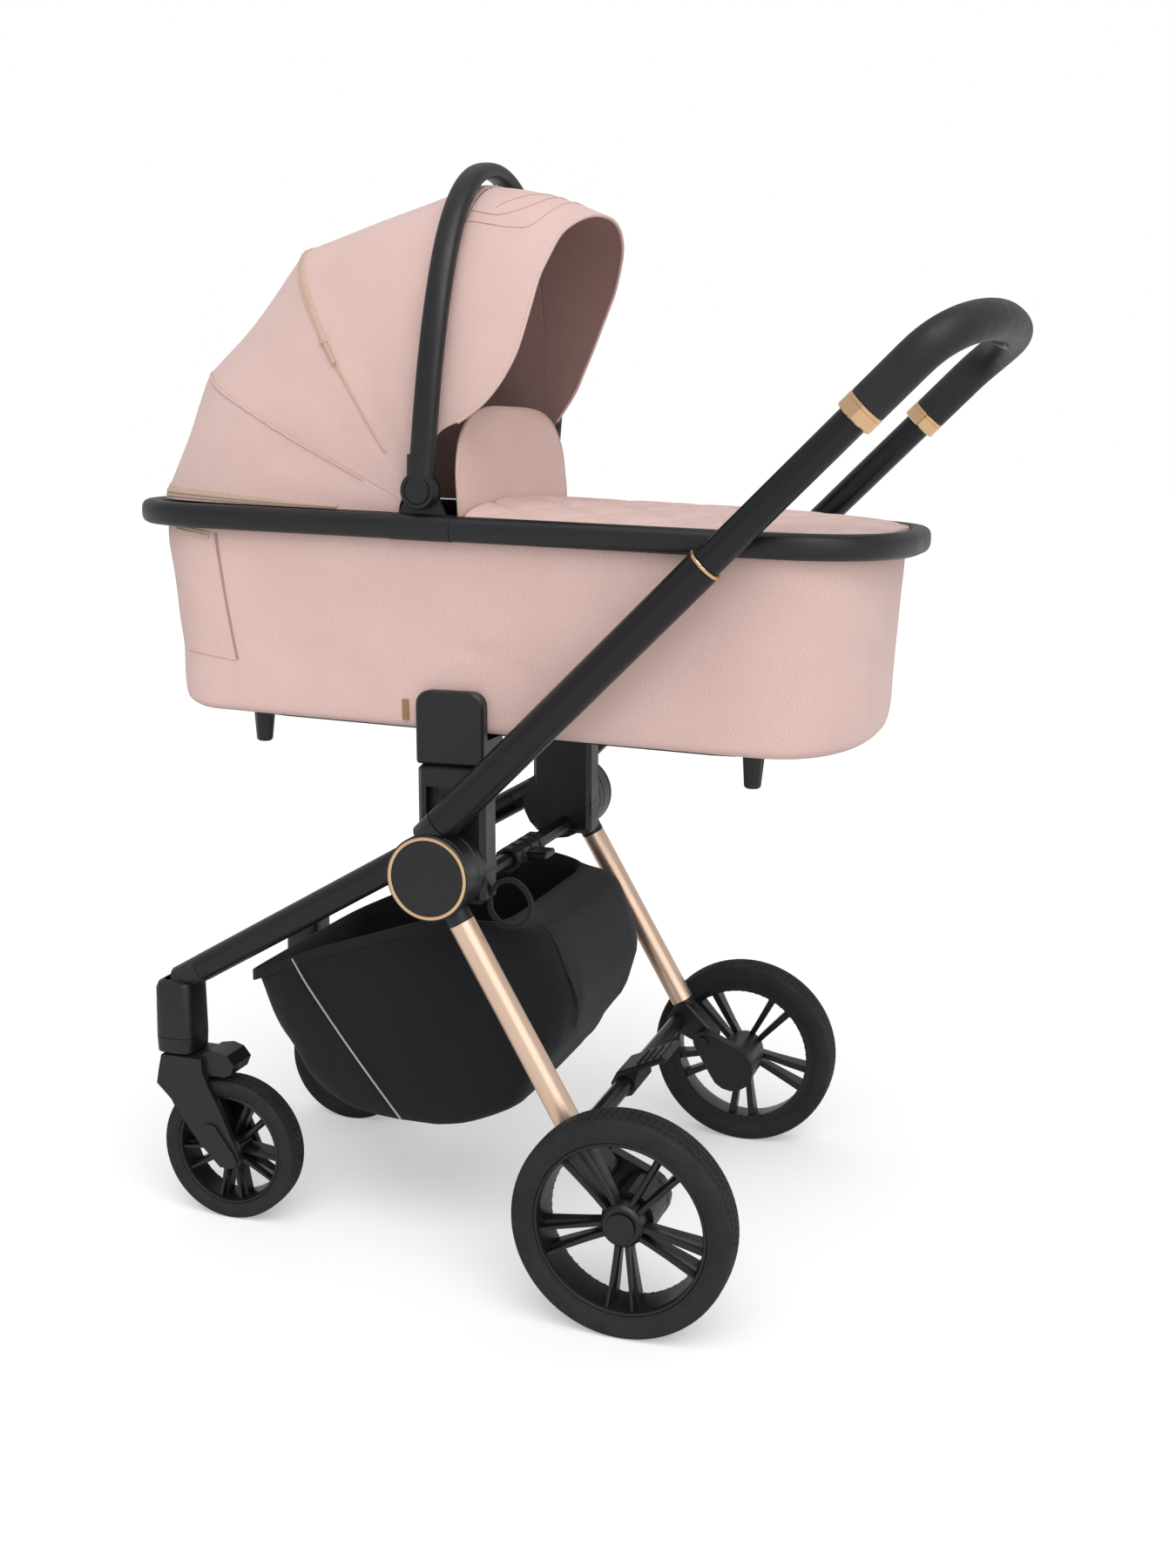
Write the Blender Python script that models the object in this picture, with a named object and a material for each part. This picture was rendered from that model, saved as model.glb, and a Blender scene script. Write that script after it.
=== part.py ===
# A pram: a carrycot on a folding, telescoping chassis with swivelling front wheels.
# Metres, +Z up, origin on the floor under the middle. The head end looks to -X,
# the handle to +X, and the left side of the pram is -Y.
import math

import bmesh
import bpy
from mathutils import Matrix, Vector

# Clearances between pieces
GAP = 0.0004
RUN = 0.0005
TURN = 0.0008
TOUCH = 0.0003

# Facets round a disc, a boss, a tube, a wheel hub and a pin
ROUND_STEPS = 20
BOSS_STEPS = 16
TUBE_STEPS = 14
HUB_STEPS = 12
PIN_STEPS = 10

# The model is laid out from a point a little behind the middle of its box
MIDDLE_X = 0.0145

# Rear wheels
REAR_AXLE_X = 0.1715
REAR_TYRE_RADIUS = 0.123
REAR_TYRE_WIDTH = 0.0438
REAR_TYRE_DEPTH = 0.0267
REAR_WHEEL_Y = 0.2683
REAR_STEPS = 28
REAR_RIM_WALL = 0.0042
REAR_HUB_RADIUS = 0.0235
REAR_HUB_LENGTH = 0.0215
REAR_HUB_OUT = 0.0110
REAR_STUB_RADIUS = 0.006

# Front wheels and casters
CASTER_X = -0.4325
CASTER_TRAIL = 0.067
CASTER_Y = 0.1586
FRONT_TYRE_RADIUS = 0.0883
FRONT_TYRE_WIDTH = 0.036
FRONT_TYRE_DEPTH = 0.0195
FRONT_STEPS = 24
FRONT_RIM_WALL = 0.0038
FRONT_HUB_RADIUS = 0.0165
FRONT_HUB_LENGTH = 0.030
FRONT_AXLE_RADIUS = 0.004
FORK_ARM = 0.007
FORK_WHEEL_ROOM = 0.006
FORK_SIDE_ROOM = 0.0025
FORK_TOP_Z = 0.2035
STEM_RADIUS = 0.0065
STEM_TOP_Z = 0.268
HOUSING_RADIUS = 0.0245
HOUSING_BOTTOM_Z = 0.2045
HOUSING_TOP_Z = 0.2945
LOCK_TRAVEL = 0.006
LOCK_SIZE = (0.0062, 0.016, 0.020)
LOCK_Z = 0.222

# Wheel spokes: pairs that spread towards the rim
SPOKE_PAIRS = 5
SPOKE_START = math.radians(-90.0)
SPOKE_WIDTH = 0.0068
SPOKE_SPREAD_HUB = 0.0050
SPOKE_SPREAD_RIM = 0.0135

# Hinge hubs. Layers run outwards: frame, rear leg, handle, cover
HINGE_X = -0.0622
HINGE_Z = 0.4718
HUB_RADIUS = 0.048
HUB_ROOM = 0.0015
FRAME_IN_Y = 0.158
FRAME_OUT_Y = 0.1975
REAR_KNUCKLE_THICK = 0.0155
HANDLE_KNUCKLE_THICK = 0.0247
BOLT_RADIUS = 0.006
COVER_THICK = 0.0070
RING_RADIUS = 0.0443
RING_WIDTH = 0.0036
RING_DEPTH = 0.0022
REAR_FOLD = math.radians(45.5)
HANDLE_FOLD = math.radians(130.0)
FOLD_ROOM = 0.001

# Front legs
LEG_RADIUS = 0.0168
LEG_WALL = 0.0016
LEG_ANGLE = math.radians(30.0)
LEG_OFFSET = 0.0293
LEG_TOP_Y = 0.1805
LEG_START = 0.055
SLEEVE_START = 0.012
PLUG_LENGTH = 0.032

# Carrycot sockets on the hub frames
SOCKET_FRONT_X = -0.0956
SOCKET_REAR_X = -0.0149
SOCKET_BOTTOM_Z = 0.432
SOCKET_TOP_Z = 0.5881
SOCKET_BEVEL = 0.006
TONGUE_LENGTH = 0.036
TONGUE_WIDTH = 0.040
TONGUE_THICK = 0.016
WINDOW_FRONT_X = -0.0841
WINDOW_REAR_X = -0.0428
WINDOW_BOTTOM_Z = 0.5324
WINDOW_TOP_Z = 0.5631
WINDOW_DEPTH = 0.0115

# Handle
HANDLE_ANGLE = math.radians(44.7)
HANDLE_OFFSET = 0.0336
HANDLE_Y = 0.2235
HANDLE_RADIUS = 0.0195
HANDLE_WALL = 0.0022
HANDLE_START = 0.046
COLLAR_AT = 0.456
COLLAR_WIDTH = 0.004
COLLAR_RADIUS = 0.0207
BOW_RADIUS = 0.0165
BOW_WALL = 0.0018
BOW_INSIDE = 0.190
GRIP_RING_AT = 0.6826
GRIP_RING_LENGTH = 0.019
GRIP_RING_RADIUS = 0.0213
GRIP_RADIUS = 0.0208
BOW_CORNER_AT = 0.744
BOW_END_AT = 0.824
BOW_DROP = 0.0145
BOW_CORNER_POWER = 2.6
BUTTON_WIDTH = 0.062
BUTTON_TRAVEL = 0.0015
BUTTON_THICK = 0.0058
BUTTON_HALF_ARC = math.radians(48.0)

# Rear legs, cross axle and brake
REAR_LEG_ANGLE = math.radians(60.0)
REAR_LEG_Y = 0.2215
REAR_LEG_RADIUS = 0.0148
REAR_LEG_WALL = 0.0015
REAR_LEG_START = 0.060
REAR_LEG_END = 0.315
CROSS_AXLE_X = 0.0946
CROSS_AXLE_Z = 0.1757
CROSS_AXLE_RADIUS = 0.0105
CROSS_AXLE_WALL = 0.002
BRACKET_IN_Y = 0.2033
BRACKET_OUT_Y = 0.2330
ARM_BOLT_X = 0.1334
ARM_BOLT_Z = 0.156
ARM_BOLT_RADIUS = 0.004
ARM_IN_Y = 0.188
ARM_EYE_RADIUS = 0.014
DRUM_RADIUS = 0.030
DRUM_OUT_Y = 0.2555
DRUM_SLOTS = 4
PEDAL_WIDTH = 0.062
PEDAL_REACH = 0.066
PEDAL_RISE = math.radians(24.0)
PEDAL_THICK = 0.006
PEDAL_EYE_RADIUS = 0.0165
PEDAL_RIBS = 4

# Cross tube with the fold lever
CROSS_TUBE_X = -0.050
CROSS_TUBE_Z = 0.445
CROSS_TUBE_RADIUS = 0.0105
CROSS_TUBE_WALL = 0.002
LEVER_LENGTH = 0.092
LEVER_RADIUS = 0.0155
LEVER_RIBS = 3
LEVER_TAB = 0.024

# Pull loop behind the left hub
LOOP_Y = 0.178
LOOP_THICK = 0.0035
LOOP_WIDTH = 0.010

# Basket
BASKET_WALL = 0.0025
BASKET_TOP_HALF = 0.160
BASKET_BOTTOM_HALF = 0.118
BASKET_STRAP_X = -0.190
BASKET_STRAP_WIDTH = 0.024

# Carrycot, in its own frame: x towards the foot, w up from the top of the rim
COT_TILT = math.radians(1.65)
COT_FLOOR_Z = 0.6216
RIM_HEAD_X = -0.501
RIM_FOOT_X = 0.431
RIM_HALF = 0.198
RIM_END = 0.156
RIM_POWER = 2.6
RIM_WIDTH = 0.024
RIM_THICK = 0.028
RIM_EDGE = 0.005
TUB_WALL = 0.005
TUB_HALF = 0.1822
TUB_DEPTH = 0.2374
TUB_HEAD_INSET = 0.020
TUB_FOOT_INSET = 0.027
BOARD_THICK = 0.006
BOARD_HEAD_X = -0.338
BOARD_FOOT_X = 0.297
BOARD_HALF = 0.148
FOOT_HEIGHT = 0.037
FOOT_TOP_RADIUS = 0.0125
FOOT_BOTTOM_RADIUS = 0.0095
FEET_X = (-0.318, 0.277)
FEET_Y = 0.125
MATTRESS_THICK = 0.042
MATTRESS_ROOM = 0.008
MATTRESS_CHANNEL = 0.004
MATTRESS_CHANNEL_EVERY = 3

# Adapters under the carrycot
ADAPTER_TOP_Z = 0.6703
ADAPTER_SHELF_IN_Y = 0.136
ADAPTER_PLATE_IN_Y = 0.1822
ADAPTER_CORNER = 0.016

# Apron and its raised wind flap
APRON_START_X = -0.045
APRON_CELL = 0.0225
APRON_CROWN = 0.016
APRON_THICK = 0.006
APRON_CHANNEL = 0.0022
APRON_END_ROOM = 0.004
FLAP_HALF = 0.160
FLAP_HEIGHT = 0.112
FLAP_THICK = 0.006
FLAP_X = -0.0520
FLAP_BELLY = 0.010

# Carry handle and hood
PIVOT_X = -0.0887
PIVOT_W = 0.0259
PIVOT_RADIUS = 0.0205
PIVOT_BOSS_IN_Y = 0.1826
PIVOT_SPLIT_Y = 0.1868
PIVOT_OUT_Y = 0.2005
PIVOT_PIN_RADIUS = 0.005
PIVOT_PIN_OUT_Y = 0.1920
PIVOT_BUTTON_RADIUS = 0.0145
PIVOT_BUTTON_DEPTH = 0.0027
PIVOT_BUTTON_TRAVEL = 0.0025
ARCH_HALF = 0.192
ARCH_SPRING_W = 0.091
ARCH_TOP_W = 0.3855
ARCH_WIDE = 0.028
ARCH_THICK = 0.018
ARCH_BOW = 0.009
HOOD_FOOT_W = 0.0008
HOOD_HEAD_ROOM = 0.0183
HOOD_ARCH_ROOM = 0.0205
HOOD_HALF = 0.182
HOOD_WALL = 0.003
HOOD_BASE_R = 0.030
HOOD_RIBS = 11
HOOD_POINTS = 17
HOOD_FRONT = math.radians(91.6)
VISOR_START = math.radians(92.0)
VISOR_END = math.radians(117.5)
VISOR_BASE_R = (0.062, 0.105)

HINGE = Vector((HINGE_X, 0.0, HINGE_Z))
RIM_TOP_Z = COT_FLOOR_Z + TUB_DEPTH
REAR_AXLE_Z = REAR_TYRE_RADIUS * math.cos(math.pi / REAR_STEPS)
FRONT_AXLE_Z = FRONT_TYRE_RADIUS * math.cos(math.pi / FRONT_STEPS)
FRONT_AXLE_X = CASTER_X + CASTER_TRAIL
REAR_KNUCKLE_IN_Y = FRAME_OUT_Y + GAP
REAR_KNUCKLE_OUT_Y = REAR_KNUCKLE_IN_Y + REAR_KNUCKLE_THICK
HANDLE_KNUCKLE_IN_Y = REAR_KNUCKLE_OUT_Y + GAP
HANDLE_KNUCKLE_OUT_Y = HANDLE_KNUCKLE_IN_Y + HANDLE_KNUCKLE_THICK
COVER_IN_Y = HANDLE_KNUCKLE_OUT_Y + GAP
HANDLE_DIR = Vector((math.cos(HANDLE_ANGLE), 0.0, math.sin(HANDLE_ANGLE)))
HANDLE_UP = Vector((-math.sin(HANDLE_ANGLE), 0.0, math.cos(HANDLE_ANGLE)))
HANDLE_FOOT = HINGE + HANDLE_OFFSET * HANDLE_UP
REAR_LEG_DIR = Vector((math.cos(REAR_LEG_ANGLE), 0.0, -math.sin(REAR_LEG_ANGLE)))
SIDES = (("left", -1.0), ("right", 1.0))


# Scene and object helpers


def clear_scene():
    for old in list(bpy.data.objects):
        bpy.data.objects.remove(old, do_unlink=True)


def paint(name, colour, rough, metal=0.0):
    """One Principled material for each named finish."""
    made = bpy.data.materials.new(name)
    made.use_nodes = True
    shader = made.node_tree.nodes["Principled BSDF"]
    shader.inputs["Base Color"].default_value = (*colour, 1.0)
    shader.inputs["Roughness"].default_value = rough
    shader.inputs["Metallic"].default_value = metal
    return made


class Carrier:
    """An empty on a joint's axis, which carries the pieces of one moving body."""

    def __init__(self, name, place, parent=None, tilt=0.0):
        self.place = Vector(place)
        self.empty = bpy.data.objects.new(name, None)
        bpy.context.scene.collection.objects.link(self.empty)
        self.empty.rotation_euler = (0.0, tilt, 0.0)
        self.empty.location = self.place
        if parent:
            self.empty.parent = parent.empty
            self.empty.location = self.place - parent.place


class TiltedCarrier(Carrier):
    """The carrycot's own frame: its pieces are given from its origin, not from the world's."""

    def __init__(self, name, place, parent, tilt):
        super().__init__(name, place, parent, tilt)
        self.place = Vector((0.0, 0.0, 0.0))


def add(name, points, faces, finish, carrier, flat=False):
    """A mesh object from points in the carrier's frame, with its faces turned outwards."""
    mesh = bpy.data.meshes.new(name)
    mesh.from_pydata([Vector(p) - carrier.place for p in points], [], faces)
    shape = bmesh.new()
    shape.from_mesh(mesh)
    bmesh.ops.recalc_face_normals(shape, faces=shape.faces)
    shape.to_mesh(mesh)
    shape.free()
    if not flat:
        mesh.shade_smooth()
        mesh.set_sharp_from_angle(angle=math.radians(38.0))
    made = bpy.data.objects.new(name, mesh)
    bpy.context.scene.collection.objects.link(made)
    made.parent = carrier.empty
    if finish:
        mesh.materials.append(finish)
    return made


def boolean(target, tool, operation):
    """Cuts or joins with a tool that is hidden afterwards."""
    step = target.modifiers.new(operation.lower(), "BOOLEAN")
    step.operation = operation
    step.solver = "EXACT"
    step.object = tool
    tool.hide_render = True
    tool.display_type = "WIRE"
    return target


def bevel(target, width, segments=2):
    step = target.modifiers.new("bevel", "BEVEL")
    step.width = width
    step.segments = segments
    step.limit_method = "ANGLE"
    step.angle_limit = math.radians(40.0)
    return target


# Shape helpers: each gives points and faces


def ring(centre, across, up, radius, steps, start=0.0):
    """Points on a circle in the plane of two unit vectors."""
    turn = 2.0 * math.pi / steps
    return [
        centre + radius * (math.cos(start + i * turn) * across + math.sin(start + i * turn) * up)
        for i in range(steps)
    ]


def bridge(loops, cyclic=False):
    """Quads between loops of equal length. Open lofts get an end cap each."""
    count = len(loops[0])
    points = [p for loop in loops for p in loop]
    faces = []
    spans = len(loops) if cyclic else len(loops) - 1
    for i in range(spans):
        first = i * count
        second = ((i + 1) % len(loops)) * count
        for j in range(count):
            k = (j + 1) % count
            faces.append((first + j, first + k, second + k, second + j))
    if not cyclic:
        faces.append(tuple(range(count)))
        faces.append(tuple(range(len(points) - count, len(points))))
    return points, faces


def turned(profile, centre, axis, steps, start=0.0):
    """A profile of (radius, height) pairs turned about an axis.

    A profile whose ends are on the axis is closed by points there, and any other is a ring.
    """
    spin = Vector(axis).to_track_quat("Z", "Y")
    across = spin @ Vector((1.0, 0.0, 0.0))
    up = spin @ Vector((0.0, 1.0, 0.0))
    along = spin @ Vector((0.0, 0.0, 1.0))
    solid = profile[0][0] == 0.0
    rows = profile[1:-1] if solid else profile
    loops = [ring(Vector(centre) + h * along, across, up, r, steps, start) for r, h in rows]
    if not solid:
        return bridge(loops, cyclic=True)
    points, faces = bridge(loops)
    faces = faces[:-2]
    ends = ((profile[0][1], profile[1][1], 0), (profile[-1][1], profile[-2][1], len(points) - steps))
    for height, rim, first in ends:
        if height == rim:
            faces.append(tuple(range(first, first + steps)))
            continue
        tip = len(points)
        points.append(Vector(centre) + height * along)
        faces += [(first + j, first + (j + 1) % steps, tip) for j in range(steps)]
    return points, faces


def rod(start, end, radius, steps=PIN_STEPS):
    start = Vector(start)
    length = (Vector(end) - start).length
    axis = Vector(end) - start
    return turned([(0.0, 0.0), (radius, 0.0), (radius, length), (0.0, length)], start, axis, steps)


def pipe(start, end, outer, inner, steps=TUBE_STEPS):
    start = Vector(start)
    axis = Vector(end) - start
    length = axis.length
    profile = [(inner, 0.0), (outer, 0.0), (outer, length), (inner, length)]
    return turned(profile, start, axis, steps)


def box(low, high):
    xs, ys, zs = zip(low, high)
    points = [Vector((x, y, z)) for z in zs for y in ys for x in xs]
    faces = [(0, 1, 3, 2), (4, 5, 7, 6), (0, 1, 5, 4), (2, 3, 7, 6), (0, 2, 6, 4), (1, 3, 7, 5)]
    return points, faces


def side_box(side, low_x, high_x, in_y, out_y, low_z, high_z):
    """A box given by its distance from the middle plane."""
    ys = sorted((side * in_y, side * out_y))
    return box((low_x, ys[0], low_z), (high_x, ys[1], high_z))


def plate(outline, y0, y1):
    """An outline of (x, z) points between two planes across the pram."""
    loops = [[Vector((x, y, z)) for x, z in outline] for y in (y0, y1)]
    return bridge(loops)


def arc(x, z, radius, first, last, count):
    """Points on an arc, angles in degrees."""
    return [
        (
            x + radius * math.cos(math.radians(first + (last - first) * i / (count - 1))),
            z + radius * math.sin(math.radians(first + (last - first) * i / (count - 1))),
        )
        for i in range(count)
    ]


def hull(circles, count=16):
    """The outline that a belt round some circles of (x, z, radius) would take."""
    dots = sorted(p for x, z, r in circles for p in arc(x, z, r, 0.0, 360.0 - 360.0 / count, count))

    def chain(ordered):
        kept = []
        for p in ordered:
            while len(kept) > 1:
                a, b = kept[-2], kept[-1]
                turn = (b[0] - a[0]) * (p[1] - a[1]) - (b[1] - a[1]) * (p[0] - a[0])
                if turn > 1e-12:
                    break
                kept.pop()
            kept.append(p)
        return kept[:-1]

    return chain(dots) + chain(dots[::-1])


def signed_power(value, power):
    return math.copysign(abs(value) ** power, value)


def sweep_loops(path, reference, wide, thick, steps, power=2.0):
    """Loops of a rounded section along a path. wide lies along the reference direction."""
    loops = []
    for i, here in enumerate(path):
        before = path[max(i - 1, 0)]
        after = path[min(i + 1, len(path) - 1)]
        along = (after - before).normalized()
        side = (reference - reference.dot(along) * along).normalized()
        other = along.cross(side)
        loop = []
        for j in range(steps):
            turn = 2.0 * math.pi * (j + 0.5) / steps
            u = signed_power(math.cos(turn), 2.0 / power)
            v = signed_power(math.sin(turn), 2.0 / power)
            loop.append(here + 0.5 * wide * u * side + 0.5 * thick * v * other)
        loops.append(loop)
    return loops


def hollow_sweep(path, reference, outer, inner, steps):
    """An open pipe along a path."""
    outside = sweep_loops(path, reference, 2.0 * outer, 2.0 * outer, steps)
    inside = sweep_loops(path, reference, 2.0 * inner, 2.0 * inner, steps)
    return bridge(outside + inside[::-1], cyclic=True)


# Wheels


def tyre_profile(radius, width, depth):
    """A closed section: beads, round shoulders and a flat running band."""
    half = width / 2.0
    root = radius - depth + TOUCH
    side = [(root, 0.86), (root + 0.42 * depth, 1.0), (radius - 0.14 * depth, 0.80), (radius, 0.34)]
    right = [(r, half * h) for r, h in side]
    return right + [(r, -h) for r, h in reversed(right)]


def add_tyre(name, centre, radius, width, depth, steps, finish, carrier):
    points, faces = turned(
        tyre_profile(radius, width, depth), centre, (0.0, 1.0, 0.0), steps, start=math.pi / steps
    )
    return add(name, points, faces, finish, carrier)


def spoke(centre, turn, shift, inner, outer, hub_span, rim_span):
    """A tapered slab from the hub to the rim, shifted to one side of its pair's middle."""
    along = Vector((math.cos(turn), 0.0, math.sin(turn)))
    across = Vector((-math.sin(turn), 0.0, math.cos(turn)))
    half = SPOKE_WIDTH / 2.0
    loops = []
    for reach, offset, (low, high) in (
        (inner, shift * SPOKE_SPREAD_HUB, hub_span),
        (outer, shift * SPOKE_SPREAD_RIM, rim_span),
    ):
        middle = centre + reach * along + offset * across
        loop = []
        for sign, y in ((-1.0, low), (1.0, low), (1.0, high), (-1.0, high)):
            loop.append(middle + sign * half * across + Vector((0.0, y, 0.0)))
        loops.append(loop)
    return bridge(loops)


def add_rim(name, side, centre, radius, width, wall, hub_radius, hub_low, hub_high, bore, steps,
            blind, finish, carrier):
    """A dished rim: barrel, hub and pairs of spokes. Heights are measured outwards."""
    half = 0.43 * width
    dish = 0.9 * wall
    barrel = [(radius, -half), (radius, half), (radius - wall, half), (radius - wall - dish, -half)]
    axis = (0.0, side, 0.0)
    rim = add(name, *turned(barrel, centre, axis, steps, start=math.pi / steps), finish, carrier)
    cap = 0.66 * hub_radius
    crown = 0.0035
    hub = [(0.0, hub_low), (hub_radius, hub_low), (hub_radius, hub_high - 0.002), (cap, hub_high)]
    if blind:
        hub += [(0.8 * cap, hub_high + crown), (0.0, hub_high + crown)]
    else:
        hub += [(0.0, hub_high)]
    tool = add(name + ".hub", *turned(hub, centre, axis, HUB_STEPS), None, carrier)
    boolean(rim, tool, "UNION")
    hub_span = sorted((side * (hub_low + 0.002), side * (hub_high - 0.004)))
    rim_span = sorted((side * (-half + 0.003), side * (-0.12 * width - 0.001)))
    for i in range(SPOKE_PAIRS):
        turn = SPOKE_START + 2.0 * math.pi * i / SPOKE_PAIRS
        for shift in (-1.0, 1.0):
            slab = spoke(
                Vector(centre), turn, shift, 0.72 * hub_radius,
                radius - wall - 0.5 * dish, hub_span, rim_span,
            )
            tool = add(f"{name}.spoke", *slab, None, carrier)
            boolean(rim, tool, "UNION")
    deep = hub_high - 0.003 if blind else hub_high + 0.01
    start = Vector(centre) + side * Vector((0.0, hub_low - 0.01, 0.0))
    end = Vector(centre) + side * Vector((0.0, deep, 0.0))
    tool = add(name + ".bore", *rod(start, end, bore), None, carrier)
    return boolean(rim, tool, "DIFFERENCE")


def rear_wheels(body, finish):
    for label, side in SIDES:
        carrier = body["rear_wheel_" + label]
        centre = Vector((REAR_AXLE_X, side * REAR_WHEEL_Y, REAR_AXLE_Z))
        rim_radius = REAR_TYRE_RADIUS - REAR_TYRE_DEPTH
        add_tyre(
            "rear_tyre_" + label, centre, REAR_TYRE_RADIUS, REAR_TYRE_WIDTH, REAR_TYRE_DEPTH,
            REAR_STEPS, finish["tyre"], carrier,
        )
        hub_low = REAR_HUB_OUT - REAR_HUB_LENGTH
        add_rim(
            "rear_rim_" + label, side, centre, rim_radius, REAR_TYRE_WIDTH, REAR_RIM_WALL,
            REAR_HUB_RADIUS, hub_low, REAR_HUB_OUT, REAR_STUB_RADIUS + TURN, REAR_STEPS, True,
            finish["plastic"], carrier,
        )


def front_wheels(body, finish):
    for label, side in SIDES:
        carrier = body["front_wheel_" + label]
        centre = Vector((FRONT_AXLE_X, side * CASTER_Y, FRONT_AXLE_Z))
        rim_radius = FRONT_TYRE_RADIUS - FRONT_TYRE_DEPTH
        add_tyre(
            "front_tyre_" + label, centre, FRONT_TYRE_RADIUS, FRONT_TYRE_WIDTH, FRONT_TYRE_DEPTH,
            FRONT_STEPS, finish["tyre"], carrier,
        )
        half = FRONT_HUB_LENGTH / 2.0
        add_rim(
            "front_rim_" + label, side, centre, rim_radius, FRONT_TYRE_WIDTH, FRONT_RIM_WALL,
            FRONT_HUB_RADIUS, -half, half, FRONT_AXLE_RADIUS + TURN, FRONT_STEPS, False,
            finish["plastic"], carrier,
        )


# Casters


def fork_outline():
    """Side view of a fork: the crown under the stem, and the arm down to the axle."""
    x, z = CASTER_X, FORK_TOP_Z
    crown = [(x - 0.038, z - 0.0455), (x - 0.033, z - 0.015), (x - 0.026, z)]
    crown += [(x + 0.024, z), (x + 0.034, z - 0.004)]
    fender = [(FRONT_AXLE_X - 0.006, z - 0.0155), (FRONT_AXLE_X + 0.010, z - 0.031)]
    eye = arc(FRONT_AXLE_X, FRONT_AXLE_Z, 0.0165, 10.0, -190.0, 9)
    back = [(x + 0.014, z - 0.0560)]
    return crown + fender + eye + back


def casters(body, finish):
    half = FRONT_TYRE_WIDTH / 2.0 + FORK_SIDE_ROOM
    outer = half + FORK_ARM
    for label, side in SIDES:
        carrier = body["caster_" + label]
        y = side * CASTER_Y
        fork = add("front_fork_" + label, *plate(fork_outline(), y - outer, y + outer),
                   finish["plastic"], carrier)
        bevel(fork, 0.0028, 1)
        axle = Vector((FRONT_AXLE_X, y, FRONT_AXLE_Z))
        across = Vector((0.0, 1.0, 0.0))
        room = FRONT_TYRE_RADIUS + FORK_WHEEL_ROOM
        tool = add("fork.room", *rod(axle - half * across, axle + half * across, room, FRONT_STEPS), None, carrier)
        boolean(fork, tool, "DIFFERENCE")
        pin = outer + 0.0020
        tool = add("fork.pin", *rod(axle - pin * across, axle + pin * across, FRONT_AXLE_RADIUS), None, carrier)
        boolean(fork, tool, "UNION")
        stem = rod((CASTER_X, y, FORK_TOP_Z - 0.01), (CASTER_X, y, STEM_TOP_Z), STEM_RADIUS)
        boolean(fork, add("fork.stem", *stem, None, carrier), "UNION")


def leg_point(side, along):
    """A point on a front leg's centre line, measured from beside the hinge."""
    down = Vector((-math.cos(LEG_ANGLE), 0.0, -math.sin(LEG_ANGLE)))
    up = Vector((-math.sin(LEG_ANGLE), 0.0, math.cos(LEG_ANGLE)))
    foot = HINGE + LEG_OFFSET * up
    reach = (foot.x - CASTER_X) / math.cos(LEG_ANGLE)
    point = foot + along * down
    point.y = side * (LEG_TOP_Y + (CASTER_Y - LEG_TOP_Y) * along / reach)
    return point


def leg_end():
    """Distance along a front leg at which it meets its caster's axis."""
    foot_x = HINGE_X - LEG_OFFSET * math.sin(LEG_ANGLE)
    return (foot_x - CASTER_X) / math.cos(LEG_ANGLE)


def caster_housings(body, finish):
    carrier = body["chassis"]
    stop = leg_end()
    sleeve = stop - HOUSING_RADIUS - 0.014
    for label, side in SIDES:
        y = side * CASTER_Y
        top = HOUSING_TOP_Z - HOUSING_BOTTOM_Z
        bore = STEM_RADIUS + TURN
        deep = STEM_TOP_Z + 0.002 - HOUSING_BOTTOM_Z
        r = HOUSING_RADIUS
        outside = [(0.0, 0.0), (r - 0.001, 0.0), (r, 0.004), (r, top - 0.020)]
        outside += [(r - 0.006, top - 0.006), (r - 0.015, top), (0.0, top)]
        housing = add("caster_housing_" + label,
                      *turned(outside, (CASTER_X, y, HOUSING_BOTTOM_Z), (0.0, 0.0, 1.0), BOSS_STEPS),
                      finish["plastic"], carrier)
        tool = add("housing.sleeve", *rod(leg_point(side, sleeve), leg_point(side, stop), LEG_RADIUS, TUBE_STEPS),
                   None, carrier)
        boolean(housing, tool, "UNION")
        plug = rod(leg_point(side, sleeve - PLUG_LENGTH), leg_point(side, sleeve + 0.002),
                   LEG_RADIUS - LEG_WALL - GAP, TUBE_STEPS)
        boolean(housing, add("housing.plug", *plug, None, carrier), "UNION")
        hole = rod((CASTER_X, y, HOUSING_BOTTOM_Z - 0.01), (CASTER_X, y, HOUSING_BOTTOM_Z + deep), bore)
        boolean(housing, add("housing.bore", *hole, None, carrier), "DIFFERENCE")


def front_legs(body, finish):
    stop = leg_end() - HOUSING_RADIUS - 0.014 - TOUCH
    for label, side in SIDES:
        tube = pipe(leg_point(side, LEG_START + TOUCH), leg_point(side, stop), LEG_RADIUS,
                    LEG_RADIUS - LEG_WALL)
        add("front_leg_" + label, *tube, finish["black"], body["chassis"])


def swivel_locks(body, finish):
    for label, side in SIDES:
        carrier = body["swivel_lock_" + label]
        deep, wide, tall = LOCK_SIZE
        back = CASTER_X - HOUSING_RADIUS - TOUCH
        y = side * CASTER_Y
        low = Vector((back - deep, y - wide / 2.0, LOCK_Z - tall / 2.0))
        high = Vector((back, y + wide / 2.0, LOCK_Z + tall / 2.0))
        lock = add("swivel_lock_" + label, *box(low, high), finish["plastic"], carrier)
        bevel(lock, 0.0015, 1)


# Hinge hubs and front frame


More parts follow.
